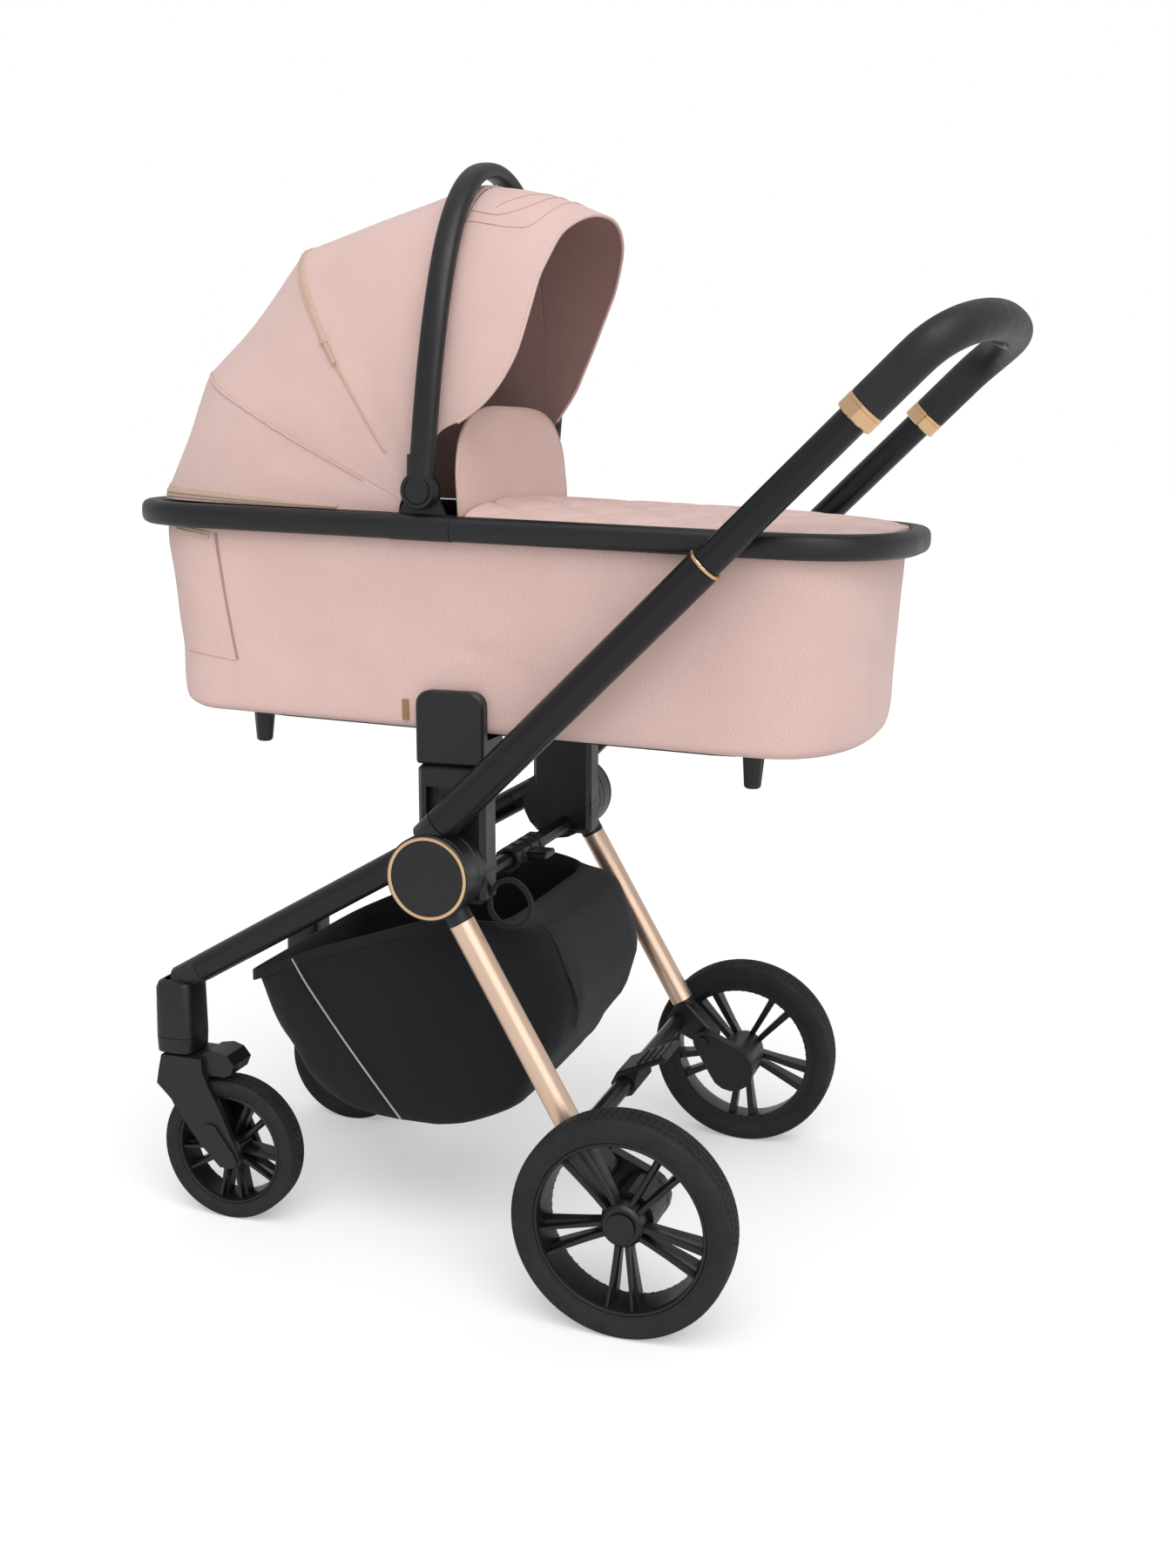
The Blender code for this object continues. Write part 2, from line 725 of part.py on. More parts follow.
def hub_frames(body, finish):
    """Moulded hub with the socket for the carrycot above and the plug for the front leg."""
    carrier = body["chassis"]
    for label, side in SIDES:
        block = side_box(side, SOCKET_FRONT_X, SOCKET_REAR_X, FRAME_IN_Y, FRAME_OUT_Y - 0.0006,
                         SOCKET_BOTTOM_Z, SOCKET_TOP_Z)
        frame = add("hub_frame_" + label, *block, finish["plastic"], carrier)
        bevel(frame, SOCKET_BEVEL, 1)
        outer = Vector((HINGE_X, side * FRAME_OUT_Y, HINGE_Z))
        inner = Vector((HINGE_X, side * (FRAME_IN_Y + 0.004), HINGE_Z))
        boolean(frame, add("hub.drum", *rod(inner, outer, HUB_RADIUS, ROUND_STEPS), None, carrier), "UNION")
        sleeve = rod(leg_point(side, SLEEVE_START), leg_point(side, LEG_START), LEG_RADIUS, TUBE_STEPS)
        boolean(frame, add("hub.sleeve", *sleeve, None, carrier), "UNION")
        plug = rod(leg_point(side, LEG_START - 0.002), leg_point(side, LEG_START + PLUG_LENGTH),
                   LEG_RADIUS - LEG_WALL - GAP, TUBE_STEPS)
        boolean(frame, add("hub.plug", *plug, None, carrier), "UNION")
        spigot = rod((CROSS_TUBE_X, side * (FRAME_IN_Y + 0.010), CROSS_TUBE_Z),
                     (CROSS_TUBE_X, side * (FRAME_IN_Y - 0.022), CROSS_TUBE_Z),
                     CROSS_TUBE_RADIUS - CROSS_TUBE_WALL - GAP)
        boolean(frame, add("hub.spigot", *spigot, None, carrier), "UNION")
        bore = rod((HINGE_X, side * (FRAME_IN_Y + 0.006), HINGE_Z),
                   (HINGE_X, side * (FRAME_OUT_Y + 0.01), HINGE_Z), BOLT_RADIUS + TOUCH, ROUND_STEPS)
        boolean(frame, add("hub.bore", *bore, None, carrier), "DIFFERENCE")
        middle = (SOCKET_FRONT_X + SOCKET_REAR_X) / 2.0
        slot = side_box(side, middle - TONGUE_WIDTH / 2.0 - RUN, middle + TONGUE_WIDTH / 2.0 + RUN,
                        tongue_in_y() - RUN, tongue_in_y() + TONGUE_THICK + RUN,
                        SOCKET_TOP_Z - TONGUE_LENGTH - RUN, SOCKET_TOP_Z + 0.02)
        boolean(frame, add("hub.slot", *slot, None, carrier), "DIFFERENCE")
        window = side_box(side, WINDOW_FRONT_X, WINDOW_REAR_X, FRAME_OUT_Y - WINDOW_DEPTH,
                          FRAME_OUT_Y + 0.01, WINDOW_BOTTOM_Z, WINDOW_TOP_Z)
        boolean(frame, add("hub.window", *window, None, carrier), "DIFFERENCE")


def tongue_in_y():
    """Inner face of the carrycot's tongue, in the middle of the socket."""
    return (FRAME_IN_Y + FRAME_OUT_Y - TONGUE_THICK) / 2.0


def hinge_bolts(body, finish):
    """The hinge pin with its round cover, and the ring let into the cover."""
    for label, side in SIDES:
        start = FRAME_IN_Y + 0.008
        face = COVER_IN_Y + COVER_THICK
        r = HUB_RADIUS
        low = RING_RADIUS - RING_WIDTH / 2.0 - TOUCH
        high = RING_RADIUS + RING_WIDTH / 2.0 + TOUCH
        floor = face - RING_DEPTH
        profile = [(0.0, start), (BOLT_RADIUS, start), (BOLT_RADIUS, COVER_IN_Y), (r, COVER_IN_Y)]
        profile += [(r, face - 0.0012), (high, face - 0.0004), (high, floor), (low, floor), (low, face)]
        profile += [(0.0, face)]
        centre = (HINGE_X, 0.0, HINGE_Z)
        axis = (0.0, side, 0.0)
        add("hinge_bolt_" + label, *turned(profile, centre, axis, ROUND_STEPS), finish["plastic"], body["chassis"])
        inlay = [(low + TOUCH, floor + TOUCH), (high - TOUCH, floor + TOUCH)]
        inlay += [(high - TOUCH, face + 0.0004), (low + TOUCH, face + 0.0004)]
        add("hub_ring_" + label, *turned(inlay, centre, axis, ROUND_STEPS), finish["gold"], body["chassis"])


def hub_cutter(side, in_y, out_y, carrier):
    start = (HINGE_X, side * in_y, HINGE_Z)
    end = (HINGE_X, side * out_y, HINGE_Z)
    return add("hub.room", *rod(start, end, HUB_RADIUS + HUB_ROOM, ROUND_STEPS), None, carrier)


def knuckle_disc(side, in_y, out_y, carrier):
    profile = [(BOLT_RADIUS + TURN, in_y), (HUB_RADIUS, in_y), (HUB_RADIUS, out_y), (BOLT_RADIUS + TURN, out_y)]
    return add("knuckle.disc", *turned(profile, (HINGE_X, 0.0, HINGE_Z), (0.0, side, 0.0), ROUND_STEPS), None, carrier)


def handle_point(side, along):
    point = HANDLE_FOOT + along * HANDLE_DIR
    point.y = side * HANDLE_Y
    return point


def handle_knuckles(body, finish):
    carrier = body["handle"]
    for label, side in SIDES:
        sleeve = rod(handle_point(side, SLEEVE_START), handle_point(side, HANDLE_START), HANDLE_RADIUS, TUBE_STEPS)
        knuckle = add("handle_knuckle_" + label, *sleeve, finish["plastic"], carrier)
        boolean(knuckle, hub_cutter(side, 0.15, 0.30, carrier), "DIFFERENCE")
        boolean(knuckle, knuckle_disc(side, HANDLE_KNUCKLE_IN_Y, HANDLE_KNUCKLE_OUT_Y, carrier), "UNION")
        web = rod(handle_point(side, 0.004), handle_point(side, HANDLE_START - 0.004),
                  HANDLE_Y - HANDLE_KNUCKLE_IN_Y - GAP, TUBE_STEPS)
        boolean(knuckle, add("knuckle.web", *web, None, carrier), "UNION")
        plug = rod(handle_point(side, HANDLE_START - 0.002), handle_point(side, HANDLE_START + PLUG_LENGTH),
                   HANDLE_RADIUS - HANDLE_WALL - GAP, TUBE_STEPS)
        boolean(knuckle, add("knuckle.plug", *plug, None, carrier), "UNION")


def handle_tubes(body, finish):
    carrier = body["handle"]
    inner = HANDLE_RADIUS - HANDLE_WALL
    for label, side in SIDES:
        tube = pipe(handle_point(side, HANDLE_START + TOUCH), handle_point(side, COLLAR_AT), HANDLE_RADIUS, inner)
        add("handle_tube_" + label, *tube, finish["black"], carrier)
        collar = pipe(handle_point(side, COLLAR_AT + TOUCH), handle_point(side, COLLAR_AT + COLLAR_WIDTH),
                      COLLAR_RADIUS, BOW_RADIUS + TURN)
        add("telescope_collar_" + label, *collar, finish["gold"], carrier)


def bow_path(start):
    """The sliding bow's centre line, from the left tube over the bar to the right tube."""
    half = [(start, HANDLE_Y), (BOW_CORNER_AT, HANDLE_Y)]
    reach = BOW_END_AT - BOW_CORNER_AT
    turns = 5
    for i in range(1, turns + 1):
        turn = 0.5 * math.pi * i / turns
        along = BOW_CORNER_AT + reach * math.sin(turn) ** (2.0 / BOW_CORNER_POWER)
        wide = HANDLE_Y * math.cos(turn) ** (2.0 / BOW_CORNER_POWER) if i < turns else 0.0
        half.append((along, wide))
    path = []
    for side in (-1.0, 1.0):
        row = half if side < 0.0 else half[-2::-1]
        for along, wide in row:
            bend = max(0.0, (along - BOW_CORNER_AT) / reach)
            point = HANDLE_FOOT + along * HANDLE_DIR - BOW_DROP * bend**2 * HANDLE_UP
            point.y = side * wide
            path.append(point)
    return path


def bow_and_grip(body, finish):
    carrier = body["handle_upper"]
    lower = COLLAR_AT - BOW_INSIDE
    bow = hollow_sweep(bow_path(lower), HANDLE_UP, BOW_RADIUS, BOW_RADIUS - BOW_WALL, TUBE_STEPS)
    add("handle_bow", *bow, finish["black"], carrier)
    grip_path = bow_path(GRIP_RING_AT + TOUCH)
    grip = add("handle_grip", *hollow_sweep(grip_path, HANDLE_UP, GRIP_RADIUS, BOW_RADIUS + TURN, PIN_STEPS + 2),
               finish["foam"], carrier)
    bar = bar_centre()
    inside = bar - (GRIP_RADIUS + 0.01) * HANDLE_DIR
    half = BUTTON_WIDTH / 2.0 + RUN
    reach = GRIP_RADIUS * math.sin(BUTTON_HALF_ARC) + RUN
    cutter = []
    for y in (-half, half):
        loop = []
        for a, b in ((-1.0, -1.0), (1.0, -1.0), (1.0, 1.0), (-1.0, 1.0)):
            middle = (inside + bar) / 2.0
            point = middle + a * 0.5 * (bar - inside).length * HANDLE_DIR + b * reach * HANDLE_UP
            point.y = y
            loop.append(point)
        cutter.append(loop)
    boolean(grip, add("grip.cut", *bridge(cutter), None, carrier), "DIFFERENCE")
    for label, side in SIDES:
        sleeve = pipe(handle_point(side, GRIP_RING_AT - GRIP_RING_LENGTH), handle_point(side, GRIP_RING_AT),
                      GRIP_RING_RADIUS, BOW_RADIUS + TURN)
        add("grip_ring_" + label, *sleeve, finish["gold"], carrier)


def bar_centre():
    return HANDLE_FOOT + BOW_END_AT * HANDLE_DIR - BOW_DROP * HANDLE_UP


def height_button(body, finish):
    """A curved key on the inner side of the bar, in a cut-out of the grip."""
    bar = bar_centre()
    low = BOW_RADIUS + BUTTON_TRAVEL + RUN + TURN
    high = low + BUTTON_THICK
    half = BUTTON_WIDTH / 2.0
    middle = math.pi + HANDLE_ANGLE
    steps = 6
    outline = []
    for radius, turns in ((low, range(steps + 1)), (high, range(steps, -1, -1))):
        limit = BUTTON_HALF_ARC * (0.86 if radius == high else 0.80)
        for i in turns:
            turn = middle + limit * (2.0 * i / steps - 1.0)
            outline.append((bar.x + radius * math.cos(turn), bar.z + radius * math.sin(turn)))
    key = add("height_button", *plate(outline, -half, half), finish["grey"], body["height_button"])
    bevel(key, 0.001, 1)


# Rear frame


def rear_leg_point(side, along):
    point = HINGE + along * REAR_LEG_DIR
    point.y = side * REAR_LEG_Y
    return point


def folded_sleeve_room(side, carrier):
    """The place of the handle's sleeve in the folded frame, seen from the rear legs."""
    turn = Matrix.Rotation(-REAR_FOLD - HANDLE_FOLD, 3, "Y")
    start = HINGE + turn @ (handle_point(side, SLEEVE_START - FOLD_ROOM) - HINGE)
    end = HINGE + turn @ (handle_point(side, HANDLE_START) - HINGE)
    return add("fold.room", *rod(start, end, HANDLE_RADIUS + FOLD_ROOM, TUBE_STEPS), None, carrier)


def rear_knuckles(body, finish):
    carrier = body["rear_frame"]
    for label, side in SIDES:
        sleeve = rod(rear_leg_point(side, 0.024), rear_leg_point(side, REAR_LEG_START), REAR_LEG_RADIUS, TUBE_STEPS)
        knuckle = add("rear_knuckle_" + label, *sleeve, finish["plastic"], carrier)
        cutter = hub_cutter(side, REAR_KNUCKLE_OUT_Y, 0.30, carrier)
        boolean(knuckle, cutter, "DIFFERENCE")
        boolean(knuckle, folded_sleeve_room(side, carrier), "DIFFERENCE")
        boolean(knuckle, knuckle_disc(side, REAR_KNUCKLE_IN_Y, REAR_KNUCKLE_OUT_Y, carrier), "UNION")
        bolt = rod((HINGE_X, side * 0.15, HINGE_Z), (HINGE_X, side * 0.30, HINGE_Z), BOLT_RADIUS + TURN)
        boolean(knuckle, add("knuckle.bore", *bolt, None, carrier), "DIFFERENCE")
        plug = rod(rear_leg_point(side, REAR_LEG_START - 0.002),
                   rear_leg_point(side, REAR_LEG_START + PLUG_LENGTH),
                   REAR_LEG_RADIUS - REAR_LEG_WALL - GAP, TUBE_STEPS)
        boolean(knuckle, add("knuckle.plug", *plug, None, carrier), "UNION")


def rear_legs(body, finish):
    for label, side in SIDES:
        tube = pipe(rear_leg_point(side, REAR_LEG_START + TOUCH), rear_leg_point(side, REAR_LEG_END),
                    REAR_LEG_RADIUS, REAR_LEG_RADIUS - REAR_LEG_WALL)
        add("rear_leg_" + label, *tube, finish["rose"], body["rear_frame"])


def rear_brackets(body, finish):
    """Moulded foot of a rear leg: leg plug, seat of the cross axle and the arm's bolt."""
    carrier = body["rear_frame"]
    foot = rear_leg_point(1.0, REAR_LEG_END + 0.012)
    circles = [(foot.x, foot.z, 0.0125), (CROSS_AXLE_X, CROSS_AXLE_Z, 0.0155), (ARM_BOLT_X, ARM_BOLT_Z, 0.0125)]
    for label, side in SIDES:
        ys = sorted((side * BRACKET_IN_Y, side * BRACKET_OUT_Y))
        bracket = add("rear_bracket_" + label, *plate(hull(circles), *ys), finish["plastic"], carrier)
        bevel(bracket, 0.002, 1)
        sleeve = rod(rear_leg_point(side, REAR_LEG_END + 2.0 * TOUCH), rear_leg_point(side, REAR_LEG_END + 0.02),
                     REAR_LEG_RADIUS, TUBE_STEPS)
        boolean(bracket, add("bracket.sleeve", *sleeve, None, carrier), "UNION")
        leg_room = rod(rear_leg_point(side, REAR_LEG_END - 0.05), rear_leg_point(side, REAR_LEG_END + TOUCH),
                       REAR_LEG_RADIUS + 0.004, TUBE_STEPS)
        boolean(bracket, add("bracket.room", *leg_room, None, carrier), "DIFFERENCE")
        plug = rod(rear_leg_point(side, REAR_LEG_END - PLUG_LENGTH), rear_leg_point(side, REAR_LEG_END + 0.01),
                   REAR_LEG_RADIUS - REAR_LEG_WALL - GAP, TUBE_STEPS)
        boolean(bracket, add("bracket.plug", *plug, None, carrier), "UNION")
        spigot = rod((CROSS_AXLE_X, side * (BRACKET_IN_Y + 0.004), CROSS_AXLE_Z),
                     (CROSS_AXLE_X, side * (BRACKET_IN_Y - 0.024), CROSS_AXLE_Z),
                     CROSS_AXLE_RADIUS - CROSS_AXLE_WALL - GAP)
        boolean(bracket, add("bracket.spigot", *spigot, None, carrier), "UNION")
        head_y = ARM_IN_Y - GAP
        bolt = rod((ARM_BOLT_X, side * (BRACKET_IN_Y + 0.004), ARM_BOLT_Z),
                   (ARM_BOLT_X, side * (head_y - 0.002), ARM_BOLT_Z), ARM_BOLT_RADIUS)
        boolean(bracket, add("bracket.bolt", *bolt, None, carrier), "UNION")
        head = rod((ARM_BOLT_X, side * head_y, ARM_BOLT_Z), (ARM_BOLT_X, side * (head_y - 0.004), ARM_BOLT_Z),
                   0.0078, 6)
        boolean(bracket, add("bracket.head", *head, None, carrier), "UNION")


def cross_axle(body, finish):
    half = BRACKET_IN_Y - TOUCH
    tube = pipe((CROSS_AXLE_X, -half, CROSS_AXLE_Z), (CROSS_AXLE_X, half, CROSS_AXLE_Z),
                CROSS_AXLE_RADIUS, CROSS_AXLE_RADIUS - CROSS_AXLE_WALL, PIN_STEPS)
    add("cross_axle", *tube, finish["black"], body["rear_frame"])


def brake_pedal(body, finish):
    """A clamp on the cross axle with a ribbed foot plate."""
    carrier = body["brake_pedal"]
    x, z, r = CROSS_AXLE_X, CROSS_AXLE_Z, PEDAL_EYE_RADIUS
    half = PEDAL_WIDTH / 2.0
    reach = Vector((math.cos(PEDAL_RISE), 0.0, math.sin(PEDAL_RISE)))
    lift = Vector((-math.sin(PEDAL_RISE), 0.0, math.cos(PEDAL_RISE)))
    tip = PEDAL_REACH
    side_view = []
    for along, up in ((-0.004, r), (tip - 0.006, r + 0.001), (tip, r - 0.003), (tip - 0.004, r - PEDAL_THICK)):
        side_view.append((along, up))
    side_view += [(0.026, r - PEDAL_THICK - 0.001)]
    side_view += [(r * math.cos(math.radians(a)), r * math.sin(math.radians(a))) for a in (0, -40, -80, -120, -160)]
    side_view += [(-r, 0.006)]
    outline = []
    for along, up in side_view:
        point = along * reach + up * lift
        outline.append((x + point.x, z + point.z))
    pedal = add("brake_pedal", *plate(outline, -half, half), finish["plastic"], carrier)
    bevel(pedal, 0.0015, 1)
    hole = rod((x, -half - 0.01, z), (x, half + 0.01, z), CROSS_AXLE_RADIUS + TURN)
    boolean(pedal, add("pedal.hole", *hole, None, carrier), "DIFFERENCE")
    pitch = (tip - 0.024) / PEDAL_RIBS
    for i in range(PEDAL_RIBS):
        at = 0.018 + (i + 0.5) * pitch
        low = Vector((x, 0.0, z)) + at * reach + (r + 0.0002) * lift
        ridge = []
        for y in (-half + 0.008, half - 0.008):
            loop = []
            for a, b in ((-0.0016, -0.002), (0.0016, -0.002), (0.0010, 0.0022), (-0.0010, 0.0022)):
                point = low + a * reach + b * lift
                point.y = y
                loop.append(point)
            ridge.append(loop)
        boolean(pedal, add("pedal.rib", *bridge(ridge), None, carrier), "UNION")


def suspension_arms(body, finish):
    """Trailing arm with the wheel hub, its slots and the axle stub."""
    circles = [(ARM_BOLT_X, ARM_BOLT_Z, ARM_EYE_RADIUS), (REAR_AXLE_X, REAR_AXLE_Z, DRUM_RADIUS)]
    for label, side in SIDES:
        carrier = body["suspension_" + label]
        ys = sorted((side * ARM_IN_Y, side * (BRACKET_IN_Y - GAP)))
        arm = add("suspension_arm_" + label, *plate(hull(circles), *ys), finish["plastic"], carrier)
        drum = rod((REAR_AXLE_X, side * (ARM_IN_Y + 0.002), REAR_AXLE_Z),
                   (REAR_AXLE_X, side * DRUM_OUT_Y, REAR_AXLE_Z), DRUM_RADIUS - 0.0006, ROUND_STEPS)
        boolean(arm, add("arm.drum", *drum, None, carrier), "UNION")
        stub_end = REAR_WHEEL_Y + REAR_HUB_OUT - 0.003 - TOUCH
        stub = rod((REAR_AXLE_X, side * (DRUM_OUT_Y - 0.005), REAR_AXLE_Z),
                   (REAR_AXLE_X, side * stub_end, REAR_AXLE_Z), REAR_STUB_RADIUS)
        boolean(arm, add("arm.stub", *stub, None, carrier), "UNION")
        hole = rod((ARM_BOLT_X, side * (ARM_IN_Y - 0.01), ARM_BOLT_Z),
                   (ARM_BOLT_X, side * (BRACKET_IN_Y + 0.01), ARM_BOLT_Z), ARM_BOLT_RADIUS + TURN)
        boolean(arm, add("arm.hole", *hole, None, carrier), "DIFFERENCE")
        for i in range(DRUM_SLOTS):
            turn = math.radians(196.0 + 14.0 * i)
            out = Vector((math.cos(turn), 0.0, math.sin(turn)))
            around = Vector((-math.sin(turn), 0.0, math.cos(turn)))
            centre = Vector((REAR_AXLE_X, side * 0.5 * (ARM_IN_Y + DRUM_OUT_Y), REAR_AXLE_Z)) + DRUM_RADIUS * out
            slot = []
            for y in (-0.010, 0.006):
                loop = []
                for a, b in ((-0.003, -0.0014), (0.003, -0.0014), (0.003, 0.0014), (-0.003, 0.0014)):
                    loop.append(centre + a * out + b * around + Vector((0.0, side * y, 0.0)))
                slot.append(loop)
            boolean(arm, add("arm.slot", *bridge(slot), None, carrier), "DIFFERENCE")


# Cross tube, fold lever, loop and basket


def cross_tube(body, finish):
    half = FRAME_IN_Y - TOUCH
    tube = pipe((CROSS_TUBE_X, -half, CROSS_TUBE_Z), (CROSS_TUBE_X, half, CROSS_TUBE_Z),
                CROSS_TUBE_RADIUS, CROSS_TUBE_RADIUS - CROSS_TUBE_WALL, PIN_STEPS)
    add("cross_tube", *tube, finish["black"], body["chassis"])


def fold_lever(body, finish):
    """A ribbed twist grip round the cross tube, with a thumb tab."""
    carrier = body["fold_lever"]
    bore = CROSS_TUBE_RADIUS + TURN
    half = LEVER_LENGTH / 2.0
    pitch = LEVER_LENGTH / (2 * LEVER_RIBS + 1)
    profile = [(bore, -half)]
    for i in range(2 * LEVER_RIBS + 1):
        radius = LEVER_RADIUS - (0.0018 if i % 2 else 0.0)
        profile += [(radius, -half + i * pitch), (radius, -half + (i + 1) * pitch - 0.0008)]
    profile += [(bore, half)]
    centre = (CROSS_TUBE_X, 0.0, CROSS_TUBE_Z)
    lever = add("fold_lever", *turned(profile, centre, (0.0, 1.0, 0.0), PIN_STEPS), finish["plastic"], carrier)
    tab = box((CROSS_TUBE_X + bore + 0.0015, -0.016, CROSS_TUBE_Z - 0.0045),
              (CROSS_TUBE_X + LEVER_RADIUS + LEVER_TAB, 0.016, CROSS_TUBE_Z + 0.0045))
    tool = add("lever.tab", *tab, None, carrier)
    bevel(tool, 0.002, 1)
    boolean(lever, tool, "UNION")


def pull_loop(body, finish):
    """A stiff webbing loop behind the left hub, fixed to the frame's rear and lower faces."""
    rear = SOCKET_REAR_X + TOUCH
    low = SOCKET_BOTTOM_Z - TOUCH
    route = [(rear, low + 0.028), (rear + 0.020, low + 0.026), (rear + 0.040, low + 0.008)]
    route += [(rear + 0.045, low - 0.022), (rear + 0.028, low - 0.048), (rear + 0.002, low - 0.054)]
    route += [(rear - 0.014, low - 0.036), (rear - 0.016, low)]
    path = [Vector((x, -LOOP_Y, z)) for x, z in route]
    smooth = rounded(path, 2)
    add("pull_loop", *bridge(sweep_loops(smooth, Vector((0.0, 1.0, 0.0)), LOOP_WIDTH, LOOP_THICK, 6, 4.0)),
        finish["webbing"], body["chassis"])


def rounded(path, parts):
    """A smooth curve through the points of a path, each span cut into parts."""
    out = []
    for i in range(len(path) - 1):
        before = path[i - 1] if i else 2.0 * path[0] - path[1]
        after = path[i + 2] if i + 2 < len(path) else 2.0 * path[-1] - path[-2]
        here, there = path[i], path[i + 1]
        for j in range(parts):
            t = j / parts
            out.append(
                0.5 * (2.0 * here + (there - before) * t
                       + (2.0 * before - 5.0 * here + 4.0 * there - after) * t**2
                       + (3.0 * here - before - 3.0 * there + after) * t**3)
            )
    out.append(path[-1])
    return out


def basket_loop(level, shrink):
    """One level of the basket, 0 at the hem and 1 at the floor, as a rounded rectangle."""
    hem = [(-0.330, 0.312), (-0.271, 0.339), (-0.191, 0.371), (-0.0705, 0.4050), (-0.012, 0.3960)]
    floor_front, floor_rear = -0.262, -0.040
    bulge = math.sin(math.pi * min(1.0, level * 1.15)) ** 0.8
    front = -0.330 + (floor_front + 0.330) * level**1.7 - 0.012 * bulge
    rear = -0.012 + (floor_rear + 0.012) * level**1.7 + 0.078 * bulge
    half = BASKET_TOP_HALF + (BASKET_BOTTOM_HALF - BASKET_TOP_HALF) * level**2 + 0.002 * bulge
    front, rear, half = front + shrink, rear - shrink, half - shrink
    middle, reach = (front + rear) / 2.0, (rear - front) / 2.0
    loop = []
    steps = 24
    for i in range(steps):
        turn = 2.0 * math.pi * (i + 0.5) / steps
        x = middle + reach * signed_power(math.cos(turn), 0.42)
        y = half * signed_power(math.sin(turn), 0.42)
        share = (x - front) / (rear - front)
        top = hem_height(hem, hem[0][0] + share * (hem[-1][0] - hem[0][0]))
        floor = 0.150 + 0.030 * abs(2.0 * share - 0.95) ** 2.5
        loop.append(Vector((x, y, top + (floor - top) * level ** 0.85)))
    return loop


def hem_height(hem, x):
    for (x0, z0), (x1, z1) in zip(hem, hem[1:]):
        if x <= x1:
            return z0 + (z1 - z0) * (x - x0) / (x1 - x0)
    return hem[-1][1]


def basket(body, finish):
    """An open fabric bag: outer wall, inner wall and two side straps up to the front legs."""
    carrier = body["chassis"]
    levels = (0.0, 0.2, 0.45, 0.70, 0.90, 1.0)
    outside = [basket_loop(level, 0.0) for level in levels]
    inside = []
    for level in levels:
        loop = basket_loop(level, BASKET_WALL)
        if level == 1.0:
            loop = [p + Vector((0.0, 0.0, BASKET_WALL)) for p in loop]
        inside.append(loop)
    outside[-1] = [Vector((0.94 * p.x - 0.009, 0.94 * p.y, p.z)) for p in outside[-1]]
    inside[-1] = [Vector((0.94 * p.x - 0.009, 0.94 * p.y, p.z)) for p in inside[-1]]
    points, faces = bridge(outside[::-1] + inside)
    bag = add("basket", points, faces, finish["basket"], carrier)
    for _, side in SIDES:
        in_y = BASKET_TOP_HALF - 0.0022
        strap = side_box(side, BASKET_STRAP_X, BASKET_STRAP_X + BASKET_STRAP_WIDTH, in_y, in_y + 0.0035,
                         0.350, 0.445)
        tool = add("basket.strap", *strap, None, carrier)
        room = rod(leg_point(side, 0.06), leg_point(side, 0.30), LEG_RADIUS + GAP, TUBE_STEPS)
        boolean(tool, add("basket.room", *room, None, carrier), "DIFFERENCE")
        low = side_box(side, BASKET_STRAP_X - 0.02, BASKET_STRAP_X + 0.06, in_y - 0.02, in_y + 0.05, 0.430, 0.46)
        boolean(tool, add("basket.trim", *low, None, carrier), "DIFFERENCE")
        boolean(bag, tool, "UNION")


# Carrycot, in its own tilted frame


def plan(side_inset, head_inset, foot_inset, height, ends=14, straight=3):
    """A closed loop of the carrycot's plan: straight sides and rounded ends."""
    half = RIM_HALF - side_inset
    loop = []
    for tip, inward, inset in ((RIM_FOOT_X, -1.0, foot_inset), (RIM_HEAD_X, 1.0, head_inset)):
        start = tip + inward * RIM_END
        reach = (RIM_END - inset) * -inward
        for i in range(ends + 1):
            turn = -0.5 * math.pi + math.pi * i / ends
            along = abs(math.cos(turn)) ** (2.0 / RIM_POWER) if 0 < i < ends else 0.0
            wide = signed_power(math.sin(turn), 2.0 / RIM_POWER)
            loop.append(Vector((start + reach * along, -inward * half * wide, height)))
        other = RIM_HEAD_X + RIM_END if inward < 0.0 else RIM_FOOT_X - RIM_END
        for i in range(1, straight):
            x = start + (other - start) * i / straight
            loop.append(Vector((x, -inward * half, height)))
    return loop


def ladder(count, first, ends=14):
    """Faces that close a plan loop by quads from side to side."""
    middle = first + ends // 2
    low, high = [], []
    for i in range(count // 2 + 1):
        low.append(first + (middle - first - i) % count)
        high.append(first + (middle - first + i) % count)
    faces = [(low[0], low[1], high[1])]
    for i in range(1, count // 2 - 1):
        faces.append((low[i], low[i + 1], high[i + 1], high[i]))
    faces.append((low[-2], low[-1], high[-2]))
    return faces


